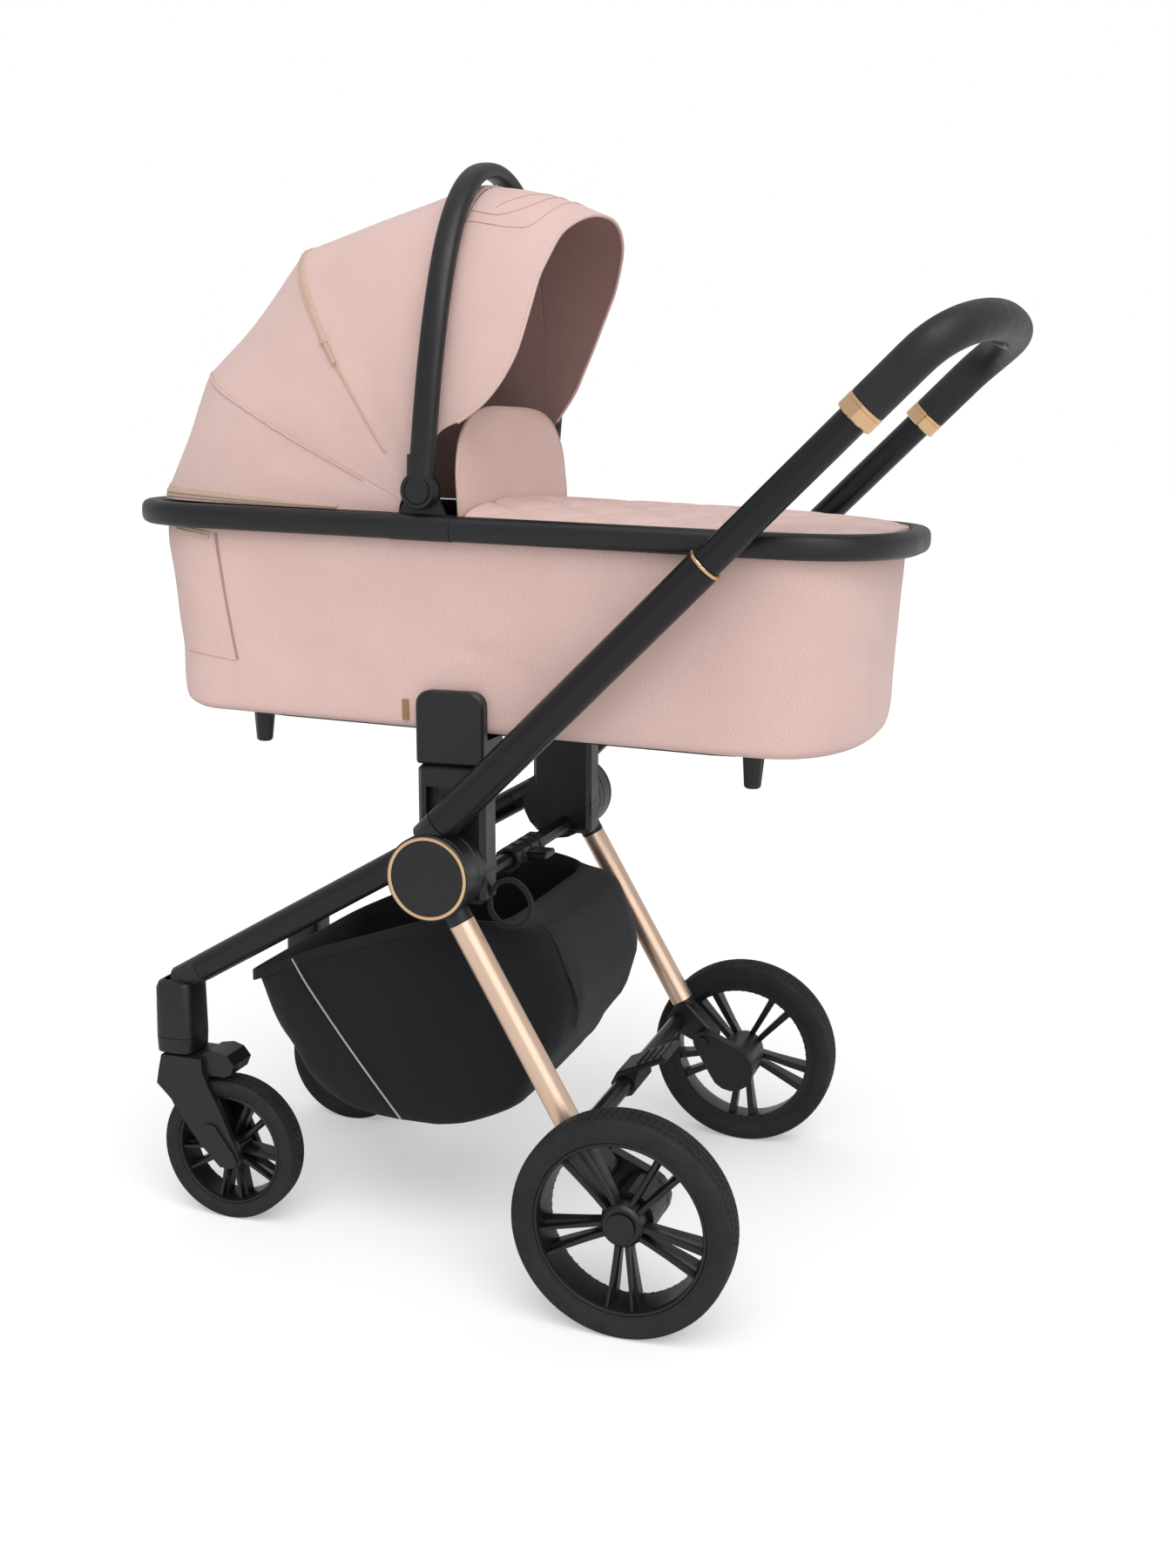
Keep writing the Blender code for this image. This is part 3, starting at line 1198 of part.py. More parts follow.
def carrycot_rim(body, finish):
    """The black frame ring, with a boss on each side for the carry handle's pivot."""
    carrier = body["cot"]
    wide, deep, edge = RIM_WIDTH, RIM_THICK, RIM_EDGE
    section = [(0.0, -1.4 * edge), (0.0, 1.4 * edge - deep), (edge, -deep), (wide - edge, -deep)]
    section += [(wide, edge - deep), (wide, -edge), (wide - edge, 0.0), (edge, 0.0)]
    loops = [plan(inset, inset, inset, height) for inset, height in section]
    rim = add("carrycot_rim", *bridge(loops, cyclic=True), finish["plastic"], carrier)
    for _, side in SIDES:
        ys = sorted((side * PIVOT_BOSS_IN_Y, side * PIVOT_SPLIT_Y))
        outline = hull([(PIVOT_X, PIVOT_W, PIVOT_RADIUS), (PIVOT_X - 0.030, -0.010, 0.006),
                        (PIVOT_X + 0.030, -0.010, 0.006)])
        boolean(rim, add("rim.boss", *plate(outline, *ys), None, carrier), "UNION")
        pin = rod((PIVOT_X, side * (PIVOT_SPLIT_Y - 0.004), PIVOT_W), (PIVOT_X, side * PIVOT_PIN_OUT_Y, PIVOT_W),
                  PIVOT_PIN_RADIUS)
        boolean(rim, add("rim.pin", *pin, None, carrier), "UNION")


def tub_levels(wall):
    """Heights and insets of the fabric tub, from the hem to the floor."""
    side = RIM_HALF - TUB_HALF
    top = -RIM_THICK - TOUCH
    deep = -TUB_DEPTH
    rows = [(top, side, 0.0), (-0.110, side + 0.0002, 0.003), (-0.190, side + 0.0004, 0.007)]
    rows += [(deep + 0.018, side + 0.0040, 0.013), (deep + 0.004, side + 0.0180, 0.026)]
    rows += [(deep, side + 0.040, 0.052)]
    shifted = []
    for height, inset, taper in rows:
        floor = max(height, deep + wall)
        shifted.append((floor if wall else height, inset + wall, taper + wall))
    return shifted


def carrycot_tub(body, finish):
    def rings(wall):
        return [
            plan(inset, TUB_HEAD_INSET + taper, TUB_FOOT_INSET + taper, height)
            for height, inset, taper in tub_levels(wall)
        ]

    outside = rings(0.0)
    inside = [loop for loop in rings(TUB_WALL) if loop[0].z > -TUB_DEPTH + 1.5 * TUB_WALL]
    floor = tub_levels(0.0)[-2]
    inset = floor[1] + TUB_WALL
    inside.append(plan(inset, TUB_HEAD_INSET + floor[2] + TUB_WALL, TUB_FOOT_INSET + floor[2] + TUB_WALL,
                       -TUB_DEPTH + TUB_WALL))
    points, faces = bridge(outside[::-1] + inside)
    count = len(outside[0])
    faces = faces[:-2] + ladder(count, 0) + ladder(count, len(points) - count)
    add("carrycot_tub", points, faces, finish["pink"], body["cot"])


def carrycot_board(body, finish):
    carrier = body["cot"]
    top = -TUB_DEPTH - TOUCH
    low = top - BOARD_THICK
    corner = 0.060
    outline = []
    for x, y, first in ((BOARD_FOOT_X - corner, BOARD_HALF - corner, 0.0),
                        (BOARD_HEAD_X + corner, BOARD_HALF - corner, 90.0),
                        (BOARD_HEAD_X + corner, corner - BOARD_HALF, 180.0),
                        (BOARD_FOOT_X - corner, corner - BOARD_HALF, 270.0)):
        outline += arc(x, y, corner, first, first + 90.0, 5)
    loops = [[Vector((x, y, z)) for x, y in outline] for z in (low, top)]
    board = add("carrycot_board", *bridge(loops), finish["plastic"], carrier)
    for x in FEET_X:
        for _, side in SIDES:
            profile = [(0.0, 0.0), (FOOT_BOTTOM_RADIUS - 0.002, 0.0), (FOOT_BOTTOM_RADIUS, 0.002)]
            profile += [(FOOT_TOP_RADIUS, FOOT_HEIGHT), (0.0, FOOT_HEIGHT)]
            base = (x, side * FEET_Y, low - FOOT_HEIGHT + 0.001)
            tool = add("board.foot", *turned(profile, base, (0.0, 0.0, 1.0), PIN_STEPS), None, carrier)
            boolean(board, tool, "UNION")


def mattress(body, finish):
    """A crowned pad whose sides draw in, with cross channels sewn into its top."""
    room = TUB_WALL + MATTRESS_ROOM
    low = -TUB_DEPTH + TUB_WALL + TOUCH
    rows = [(0.0, 0.020), (0.006, 0.006), (0.022, 0.003), (0.034, 0.010), (0.040, 0.026)]
    rows += [(MATTRESS_THICK + 0.0008, 0.075)]
    ends, straight = 10, 15
    loops = []
    for height, inset in rows:
        side = RIM_HALF - TUB_HALF + 0.012 + room + inset
        taper = room + inset + 0.018
        loop = plan(side, TUB_HEAD_INSET + taper, TUB_FOOT_INSET + taper, low + height, ends, straight)
        if height > 0.034:
            for i in range(0, straight + 1, MATTRESS_CHANNEL_EVERY):
                for j in (ends + i, len(loop) - i):
                    loop[j % len(loop)].z -= MATTRESS_CHANNEL
        loops.append(loop)
    points, faces = bridge(loops)
    count = len(loops[0])
    faces = faces[:-2] + ladder(count, 0, ends) + ladder(count, len(points) - count, ends)
    add("mattress", points, faces, finish["liner"], body["cot"])


def plan_half(x):
    """Half width between the rim's inner walls at a place along the carrycot."""
    walls = plan(RIM_WIDTH, RIM_WIDTH, RIM_WIDTH, 0.0)
    side = sorted((p.x, p.y) for p in walls if p.y > 0.0)
    for (x0, y0), (x1, y1) in zip(side, side[1:]):
        if x0 <= x <= x1:
            return y0 + (y1 - y0) * (x - x0) / max(x1 - x0, TOUCH)
    return side[-1][1]


def apron(body, finish):
    """The crowned cover, sewn into diamonds, inside the foot half of the rim."""
    end = RIM_FOOT_X - RIM_WIDTH - APRON_END_ROOM
    columns = round((end - APRON_START_X) / APRON_CELL)
    rows = 14
    grid = []
    for i in range(columns + 1):
        share = i / columns
        x = APRON_START_X + (end - APRON_START_X) * share
        half = plan_half(x + 2.0 * RUN) - TURN
        line = []
        for j in range(rows + 1):
            v = 2.0 * j / rows - 1.0
            edge = (1.0 - abs(v) ** 3.0) * (1.0 - share**6.0)
            crown = APRON_CROWN * edge * (0.72 + 0.28 * (1.0 - share))
            sewn = (i + j) % 4 == 0 or (i - j) % 4 == 0
            if sewn and 0 < j < rows and 0 < i < columns:
                crown -= APRON_CHANNEL
            line.append((x, half * v, crown))
        grid.append(line)
    low = -0.0070
    points = [Vector((x, y, low + APRON_THICK + crown)) for line in grid for x, y, crown in line]
    wide = rows + 1
    faces = []
    for i in range(columns):
        for j in range(rows):
            a = i * wide + j
            faces.append((a, a + 1, a + wide + 1, a + wide))
    edge = [j for j in range(wide)]
    edge += [i * wide + rows for i in range(1, columns + 1)]
    edge += [columns * wide + j for j in range(rows - 1, -1, -1)]
    edge += [i * wide for i in range(columns - 1, 0, -1)]
    below = {}
    for a in edge:
        below[a] = len(points)
        points.append(Vector((points[a].x, points[a].y, low)))
    for a, b in zip(edge, edge[1:] + edge[:1]):
        faces.append((a, b, below[b], below[a]))
    for i in range(columns):
        corners = (i * wide, i * wide + rows, (i + 1) * wide + rows, (i + 1) * wide)
        if i == 0:
            corners = (*[j for j in range(wide)], corners[2], corners[3])
        if i == columns - 1:
            corners = (corners[0], corners[1], *[columns * wide + j for j in range(rows, -1, -1)])
        faces.append(tuple(below[a] for a in corners))
    add("apron", points, faces, finish["pink"], body["cot"])


def wind_flap(body, finish):
    """The raised flap at the apron's front edge: a curved, slightly cupped pad."""
    low = -0.0010
    loops = []
    count = 8
    rows = 6
    for k in range(rows + 1):
        level = k / rows
        half = FLAP_HALF * (1.0 - level**2.6) ** (1.0 / 2.6) if k < rows else 0.32 * FLAP_HALF
        height = low + FLAP_HEIGHT * (level if k < rows else 0.985)
        loop = []
        for face in (0, 1):
            for j in range(count + 1):
                v = 2.0 * j / count - 1.0
                if face:
                    v = -v
                belly = FLAP_BELLY * (1.0 - v**2)
                puff = FLAP_THICK * (0.35 + 0.65 * (1.0 - v**4)) / 2.0
                x = FLAP_X + belly * (1.0 - level) * 0.4 - FLAP_BELLY * level
                x += puff if face else -puff
                loop.append(Vector((x, half * v, height)))
        loops.append(loop)
    add("wind_flap", *bridge(loops), finish["pink"], body["cot"])


def board_under(x):
    """World height of the base board's underside above a place along the pram."""
    depth = TUB_DEPTH + TOUCH + BOARD_THICK
    return RIM_TOP_Z - depth / math.cos(COT_TILT) - x * math.tan(COT_TILT)


def adapters(body, finish):
    """Adapters on the carrycot: side plate, shelf under the board and tongue in the socket."""
    carrier = body["carrycot"]
    low = SOCKET_TOP_Z + TOUCH
    for label, side in SIDES:
        ys = sorted((side * ADAPTER_PLATE_IN_Y, side * FRAME_OUT_Y))
        corner = ADAPTER_CORNER
        outline = [(SOCKET_FRONT_X, low), (SOCKET_REAR_X, low)]
        outline += arc(SOCKET_REAR_X - corner, ADAPTER_TOP_Z - corner, corner, 0.0, 90.0, 6)
        outline += arc(SOCKET_FRONT_X + corner, ADAPTER_TOP_Z - corner, corner, 90.0, 180.0, 6)
        adapter = add("carrycot_adapter_" + label, *plate(outline, *ys), finish["plastic"], carrier)
        bevel(adapter, 0.0025, 1)
        front, rear = SOCKET_FRONT_X + 0.002, SOCKET_REAR_X - 0.002
        outline = [(front, low), (rear, low), (rear, board_under(rear) - GAP), (front, board_under(front) - GAP)]
        shelf = plate(outline, side * ADAPTER_SHELF_IN_Y, side * (FRAME_OUT_Y - 0.004))
        boolean(adapter, add("adapter.shelf", *shelf, None, carrier), "UNION")
        middle = (SOCKET_FRONT_X + SOCKET_REAR_X) / 2.0
        tongue = side_box(side, middle - TONGUE_WIDTH / 2.0, middle + TONGUE_WIDTH / 2.0, tongue_in_y(),
                          tongue_in_y() + TONGUE_THICK, SOCKET_TOP_Z - TONGUE_LENGTH, low + 0.004)
        boolean(adapter, add("adapter.tongue", *tongue, None, carrier), "UNION")


# Carry handle and hood


def arch_path():
    """From the left pivot over the top to the right pivot: upright arms and a half ellipse."""
    rise = ARCH_TOP_W - ARCH_SPRING_W
    half = []
    for w in (PIVOT_W + 0.002, PIVOT_W + 0.030, ARCH_SPRING_W - 0.015):
        half.append((ARCH_HALF, w))
    turns = 8
    for i in range(1, turns + 1):
        turn = 0.5 * math.pi * i / turns
        half.append((ARCH_HALF * math.cos(turn) if i < turns else 0.0, ARCH_SPRING_W + rise * math.sin(turn)))
    path = []
    for side in (-1.0, 1.0):
        row = half if side < 0.0 else half[-2::-1]
        for y, w in row:
            share = (w - PIVOT_W) / (ARCH_TOP_W - PIVOT_W)
            x = PIVOT_X + ARCH_BOW * math.sin(math.pi * min(1.0, share)) - 0.002 * share
            path.append(Vector((x, side * y, w)))
    return path


def carry_handle(body, finish):
    carrier = body["carry_handle"]
    loops = sweep_loops(arch_path(), Vector((1.0, 0.0, 0.0)), ARCH_WIDE, ARCH_THICK, 8, 2.6)
    arch = add("carry_handle", *bridge(loops), finish["plastic"], carrier)
    for _, side in SIDES:
        inner = PIVOT_SPLIT_Y + GAP
        profile = [(0.0, inner), (PIVOT_RADIUS, inner), (PIVOT_RADIUS, PIVOT_OUT_Y - 0.002)]
        profile += [(PIVOT_RADIUS - 0.002, PIVOT_OUT_Y), (0.0, PIVOT_OUT_Y)]
        centre = (PIVOT_X, 0.0, PIVOT_W)
        axis = (0.0, side, 0.0)
        boolean(arch, add("arch.boss", *turned(profile, centre, axis, BOSS_STEPS), None, carrier), "UNION")
        trim = rod((PIVOT_X, side * 0.150, PIVOT_W), (PIVOT_X, side * inner, PIVOT_W), 0.036, BOSS_STEPS)
        boolean(arch, add("arch.trim", *trim, None, carrier), "DIFFERENCE")
        floor = PIVOT_OUT_Y - PIVOT_BUTTON_DEPTH - PIVOT_BUTTON_TRAVEL
        cup = rod((PIVOT_X, side * floor, PIVOT_W), (PIVOT_X, side * (PIVOT_OUT_Y + 0.01), PIVOT_W),
                  PIVOT_BUTTON_RADIUS + GAP, TUBE_STEPS)
        boolean(arch, add("arch.cup", *cup, None, carrier), "DIFFERENCE")
        bore = rod((PIVOT_X, side * 0.18, PIVOT_W), (PIVOT_X, side * (floor - 0.001), PIVOT_W),
                   PIVOT_PIN_RADIUS + TURN)
        boolean(arch, add("arch.bore", *bore, None, carrier), "DIFFERENCE")


def pivot_buttons(body, finish):
    for label, side in SIDES:
        low = PIVOT_OUT_Y - PIVOT_BUTTON_DEPTH
        r = PIVOT_BUTTON_RADIUS
        profile = [(0.0, low), (r, low), (r, PIVOT_OUT_Y), (r - 0.001, PIVOT_OUT_Y + 0.0008)]
        profile += [(0.0, PIVOT_OUT_Y + 0.0008)]
        add("pivot_button_" + label, *turned(profile, (PIVOT_X, 0.0, PIVOT_W), (0.0, side, 0.0), TUBE_STEPS),
            finish["plastic"], body["pivot_button_" + label])


def hood_radius(turn):
    """Reach of the hood from its fan centre, at an angle up from the head end.

    It is a share of an ellipse that stays inside the rim's head end and under the carry handle.
    """
    rows = [(0.0, 1.0), (12.0, 0.9781), (25.0, 0.958), (38.0, 0.9654), (52.0, 0.9781), (60.0, 0.974)]
    rows += [(68.0, 0.971), (76.0, 0.9904), (84.0, 1.0033), (92.0, 0.9999), (100.0, 0.9924), (108.0, 0.9878)]
    rows += [(114.0, 0.972), (118.0, 0.9438), (130.0, 0.9038)]
    along = PIVOT_X - RIM_HEAD_X - HOOD_HEAD_ROOM
    above = ARCH_TOP_W - HOOD_ARCH_ROOM
    ellipse = along * above / math.hypot(above * math.cos(turn), along * math.sin(turn))
    degrees = math.degrees(turn)
    for (a0, s0), (a1, s1) in zip(rows, rows[1:]):
        if degrees <= a1:
            share = (degrees - a0) / (a1 - a0)
            return ellipse * (s0 + (s1 - s0) * (3.0 * share**2 - 2.0 * share**3))
    return ellipse * rows[-1][1]


def hood_rib(turn, base, wall, count):
    """One rib of the hood: an arc in a plane through the fan centre, base to base."""
    flat = math.radians(62.0)
    power = 2.3 + 1.5 * max(0.0, 1.0 - turn / flat) ** 1.5
    reach = hood_radius(turn) - wall
    half = HOOD_HALF - wall
    first = math.asin(min(1.0, (base / reach) ** (power / 2.0)))
    rib = []
    for i in range(count):
        t = first + (math.pi - 2.0 * first) * i / (count - 1)
        y = -half * signed_power(math.cos(t), 2.0 / power)
        r = reach * abs(math.sin(t)) ** (2.0 / power)
        rib.append(Vector((PIVOT_X - r * math.cos(turn), y, HOOD_FOOT_W + r * math.sin(turn))))
    return rib


def hood_shell(ribs_out, ribs_in):
    """A closed sheet between an outer and an inner set of ribs."""
    loops = []
    for outside, inside in zip(ribs_out, ribs_in):
        loops.append(outside + inside[::-1])
    return bridge(loops)


def hood_canopy(body, finish):
    turns = [HOOD_FRONT * i / HOOD_RIBS for i in range(HOOD_RIBS + 1)]
    out = [hood_rib(t, HOOD_BASE_R, 0.0, HOOD_POINTS) for t in turns]
    inn = [hood_rib(t, HOOD_BASE_R, HOOD_WALL, HOOD_POINTS) for t in turns]
    for p in out[0] + inn[0]:
        p.z = HOOD_FOOT_W
    add("hood_canopy", *hood_shell(out, inn), finish["pink"], body["cot"])


def hood_visor(body, finish):
    """The stiff brim in front of the carry handle."""
    count = 6
    out, inn = [], []
    for i in range(count):
        share = i / (count - 1)
        turn = VISOR_START + (VISOR_END - VISOR_START) * share
        base = VISOR_BASE_R[0] + (VISOR_BASE_R[1] - VISOR_BASE_R[0]) * share**2
        out.append(hood_rib(turn, base, 0.0, HOOD_POINTS))
        inn.append(hood_rib(turn, base, HOOD_WALL, HOOD_POINTS))
    add("hood_visor", *hood_shell(out, inn), finish["pink"], body["carry_handle"])


# Bodies and assembly


def finishes():
    return {
        "plastic": paint("black_plastic", (0.018, 0.019, 0.022), 0.42),
        "black": paint("black_tube", (0.016, 0.017, 0.020), 0.34, 0.3),
        "tyre": paint("tyre_rubber", (0.015, 0.015, 0.017), 0.62),
        "rose": paint("rose_gold_tube", (0.72, 0.47, 0.32), 0.32, 0.85),
        "gold": paint("rose_gold_trim", (0.80, 0.47, 0.25), 0.16, 1.0),
        "foam": paint("black_grip", (0.020, 0.020, 0.023), 0.66),
        "grey": paint("grey_button", (0.10, 0.10, 0.11), 0.45),
        "pink": paint("pink_fabric", (0.70, 0.50, 0.49), 0.9),
        "liner": paint("grey_liner", (0.36, 0.33, 0.30), 0.92),
        "basket": paint("black_fabric", (0.012, 0.012, 0.014), 0.9),
        "webbing": paint("black_webbing", (0.012, 0.012, 0.014), 0.8),
    }


def carriers():
    """Empties on the joint axes, each under the one that carries it."""
    body = {"chassis": Carrier("chassis_frame", (0.0, 0.0, 0.0))}
    body["chassis"].empty.location = (-MIDDLE_X, 0.0, 0.0)
    body["handle"] = Carrier("fold_axis", HINGE, body["chassis"])
    body["handle_upper"] = Carrier("telescope", HANDLE_FOOT, body["handle"])
    body["height_button"] = Carrier("height_button_axis", bar_centre(), body["handle_upper"])
    body["rear_frame"] = Carrier("rear_fold_axis", HINGE, body["chassis"])
    body["brake_pedal"] = Carrier("pedal_axis", (CROSS_AXLE_X, 0.0, CROSS_AXLE_Z), body["rear_frame"])
    body["fold_lever"] = Carrier("lever_axis", (CROSS_TUBE_X, 0.0, CROSS_TUBE_Z), body["chassis"])
    for label, side in SIDES:
        bolt = (ARM_BOLT_X, side * REAR_LEG_Y, ARM_BOLT_Z)
        body["suspension_" + label] = Carrier("suspension_axis_" + label, bolt, body["rear_frame"])
        axle = (REAR_AXLE_X, side * REAR_WHEEL_Y, REAR_AXLE_Z)
        body["rear_wheel_" + label] = Carrier("rear_axle_" + label, axle, body["suspension_" + label])
        stem = (CASTER_X, side * CASTER_Y, FORK_TOP_Z)
        body["caster_" + label] = Carrier("caster_axis_" + label, stem, body["chassis"])
        axle = (FRONT_AXLE_X, side * CASTER_Y, FRONT_AXLE_Z)
        body["front_wheel_" + label] = Carrier("front_axle_" + label, axle, body["caster_" + label])
        lock = (CASTER_X - HOUSING_RADIUS, side * CASTER_Y, LOCK_Z)
        body["swivel_lock_" + label] = Carrier("swivel_lock_axis_" + label, lock, body["chassis"])
    body["carrycot"] = Carrier("carrycot_lift", (0.0, 0.0, 0.0), body["chassis"])
    body["cot"] = TiltedCarrier("carrycot_frame", (0.0, 0.0, RIM_TOP_Z), body["carrycot"], COT_TILT)
    body["carry_handle"] = Carrier("carry_handle_axis", (PIVOT_X, 0.0, PIVOT_W), body["cot"])
    for label, side in SIDES:
        button = (PIVOT_X, side * PIVOT_OUT_Y, PIVOT_W)
        body["pivot_button_" + label] = Carrier("pivot_button_axis_" + label, button, body["carry_handle"])
    return body


def build():
    clear_scene()
    finish = finishes()
    body = carriers()
    makers = (
        hub_frames, hinge_bolts, front_legs, caster_housings, swivel_locks, casters, front_wheels,
        handle_knuckles, handle_tubes, bow_and_grip, height_button, rear_knuckles, rear_legs,
        rear_brackets, cross_axle, brake_pedal, suspension_arms, rear_wheels, cross_tube, fold_lever,
        pull_loop, basket, carrycot_rim, carrycot_tub, carrycot_board, mattress, apron, wind_flap,
        adapters, carry_handle, pivot_buttons, hood_canopy, hood_visor,
    )
    for make in makers:
        make(body, finish)


build()
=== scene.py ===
import math

import bmesh
import bpy
from mathutils import Matrix, Vector, noise

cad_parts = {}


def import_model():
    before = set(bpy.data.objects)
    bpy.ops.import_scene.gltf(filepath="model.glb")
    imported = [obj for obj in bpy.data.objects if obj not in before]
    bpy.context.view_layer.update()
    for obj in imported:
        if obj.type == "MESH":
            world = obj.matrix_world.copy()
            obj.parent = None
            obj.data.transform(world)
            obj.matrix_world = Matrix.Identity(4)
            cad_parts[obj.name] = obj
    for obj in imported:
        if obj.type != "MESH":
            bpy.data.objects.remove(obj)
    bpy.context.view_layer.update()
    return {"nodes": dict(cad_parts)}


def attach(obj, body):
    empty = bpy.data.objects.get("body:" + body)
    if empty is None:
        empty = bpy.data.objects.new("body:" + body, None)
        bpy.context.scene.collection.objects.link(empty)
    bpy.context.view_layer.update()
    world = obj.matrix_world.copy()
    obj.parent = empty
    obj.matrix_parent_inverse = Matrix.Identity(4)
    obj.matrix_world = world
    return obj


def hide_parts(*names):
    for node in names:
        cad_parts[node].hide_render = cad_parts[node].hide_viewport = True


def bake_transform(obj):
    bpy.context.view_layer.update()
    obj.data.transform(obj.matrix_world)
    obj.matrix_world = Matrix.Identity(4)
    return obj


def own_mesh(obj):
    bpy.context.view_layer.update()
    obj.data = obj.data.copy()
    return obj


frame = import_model()

# The model's own origin lies this far behind the middle of the CAD box
MIDDLE_X = 0.0145
MODEL = Matrix.Translation((-MIDDLE_X, 0.0, 0.0))

# The carrycot's frame: x towards the foot, z up from the top of its rim
RIM_TOP_Z = 0.859
COT_TILT = math.radians(1.65)
COT = Matrix.Translation((-MIDDLE_X, 0.0, RIM_TOP_Z)) @ Matrix.Rotation(COT_TILT, 4, "Y")

SIDES = (("left", -1.0), ("right", 1.0))
UP = Vector((0.0, 0.0, 1.0))
ACROSS = Vector((0.0, 1.0, 0.0))


# Points, patches and pieces


class Patch:
    """Points and faces with a texture place for each face corner, and a material number."""

    def __init__(self, points, faces, uvs=None, slot=0):
        self.points = points
        self.faces = faces
        self.uvs = uvs or [[(points[i].x, points[i].z) for i in face] for face in faces]
        self.slot = slot


def lengths(points):
    """Distance along a row of points, from the first."""
    found = [0.0]
    for a, b in zip(points, points[1:]):
        found.append(found[-1] + (b - a).length)
    return found


def grid(rows, across=False, along=False, slot=0):
    """Quads over rows of points. across closes each row, along joins the last row to the first."""
    count = len(rows[0])
    middle = rows[len(rows) // 2]
    us = lengths(middle + middle[:1])
    column = [row[count // 2] for row in rows]
    vs = lengths(column + column[:1])
    faces, uvs = [], []
    for i in range(len(rows) if along else len(rows) - 1):
        first, second = i * count, ((i + 1) % len(rows)) * count
        for j in range(count if across else count - 1):
            k = (j + 1) % count
            faces.append((first + j, first + k, second + k, second + j))
            u0, u1, v0, v1 = us[j], us[j + 1], vs[i], vs[i + 1]
            uvs.append(((u0, v0), (u1, v0), (u1, v1), (u0, v1)))
    return Patch([p for row in rows for p in row], faces, uvs, slot)


def capped(rows):
    """A closed solid through loops of points, with a face over each end."""
    made = grid(rows, across=True)
    count = len(rows[0])
    ends = (tuple(range(count)), tuple(range(len(made.points) - count, len(made.points))))
    for end in ends:
        made.faces.append(end)
        made.uvs.append([(made.points[i].x, made.points[i].y) for i in end])
    return made


def shell(outer, inner, closed=False):
    """A cloth with an outer and an inner face: material 0 outside and 1 inside."""
    strips = [grid(outer, across=closed), grid(inner, across=closed, slot=1)]
    edges = [[outer[0], inner[0]], [outer[-1], inner[-1]]]
    if not closed:
        edges += [[[row[0] for row in outer], [row[0] for row in inner]]]
        edges += [[[row[-1] for row in outer], [row[-1] for row in inner]]]
    return strips + [grid(pair, across=closed) for pair in edges[:2]] + [grid(pair) for pair in edges[2:]]


def piece(name, patches, finish, body, nodes=(), place=MODEL, sharp=40.0):
    """One object from patches, put in place and riding on a body. A patch's slot is the number of its
    material in the finish.
    """
    points, faces, uvs, slots = [], [], [], []
    for patch in patches if isinstance(patches, list) else [patches]:
        first = len(points)
        points += [place @ p for p in patch.points]
        faces += [tuple(first + i for i in face) for face in patch.faces]
        uvs += patch.uvs
        slots += [patch.slot] * len(patch.faces)
    mesh = bpy.data.meshes.new(name)
    mesh.from_pydata(points, [], faces)
    layer = mesh.uv_layers.new(name="cloth")
    flat = [uv for face in uvs for uv in face]
    layer.data.foreach_set("uv", [value for uv in flat for value in uv])
    mesh.polygons.foreach_set("material_index", slots)
    shape = bmesh.new()
    shape.from_mesh(mesh)
    bmesh.ops.remove_doubles(shape, verts=shape.verts, dist=1e-6)
    bmesh.ops.recalc_face_normals(shape, faces=shape.faces)
    shape.to_mesh(mesh)
    shape.free()
    mesh.shade_smooth()
    mesh.set_sharp_from_angle(angle=math.radians(sharp))
    for material in finish if isinstance(finish, list) else [finish]:
        mesh.materials.append(material)
    made = bpy.data.objects.new(name, mesh)
    bpy.context.scene.collection.objects.link(made)
    if body:
        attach(made, body)
    if nodes:
        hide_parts(*nodes)
    return made


def circle(centre, axis, radius, steps):
    """An even loop of points round an axis."""
    spin = Vector(axis).to_track_quat("Z", "Y")
    turns = [i * (2.0 * math.pi / steps) for i in range(steps)]
    return [centre + spin @ Vector((radius * math.cos(a), radius * math.sin(a), 0.0)) for a in turns]


def lathe(profile, centre, axis, steps=64):
    """A profile of (radius, height) pairs turned about an axis. Ends at radius 0 are closed."""
    axis = Vector(axis).normalized()
    centre = Vector(centre)
    rows = [circle(centre + h * axis, axis, max(r, 1e-5), steps) for r, h in profile]
    if profile[0][0] > 0.0:
        return grid(rows, across=True, along=True)
    return capped(rows)


def softened(profile, size, parts=3):
    """The same profile with its inner corners rounded by a small curve."""
    out = [profile[0]]
    for before, here, after in zip(profile, profile[1:], profile[2:]):
        a, b, c = Vector(before), Vector(here), Vector(after)
        cut = min(size, 0.45 * (a - b).length, 0.45 * (c - b).length)
        start, end = b + (a - b).normalized() * cut, b + (c - b).normalized() * cut
        for i in range(parts + 1):
            t = i / parts
            point = (1 - t) ** 2 * start + 2 * t * (1 - t) * b + t**2 * end
            out.append((point.x, point.y))
    out.append(profile[-1])
    return out


def rod(start, end, radius, steps=32, edge=0.0008):
    """A round bar with softened ends."""
    length = (end - start).length
    profile = [(0.0, 0.0), (radius, 0.0), (radius, length), (0.0, length)]
    return lathe(softened(profile, edge), start, end - start, steps)


def cross_rod(x, z, y0, y1, radius):
    """A round bar that lies across the pram."""
    return rod(Vector((x, y0, z)), Vector((x, y1, z)), radius)


def pipe(start, end, outer, inner, steps=48, edge=0.0006):
    """A tube with softened outer edges."""
    length = (end - start).length
    profile = [(inner, 0.0), (outer - edge, 0.0), (outer, edge), (outer, length - edge)]
    profile += [(outer - edge, length), (inner, length)]
    return lathe(profile, start, end - start, steps)


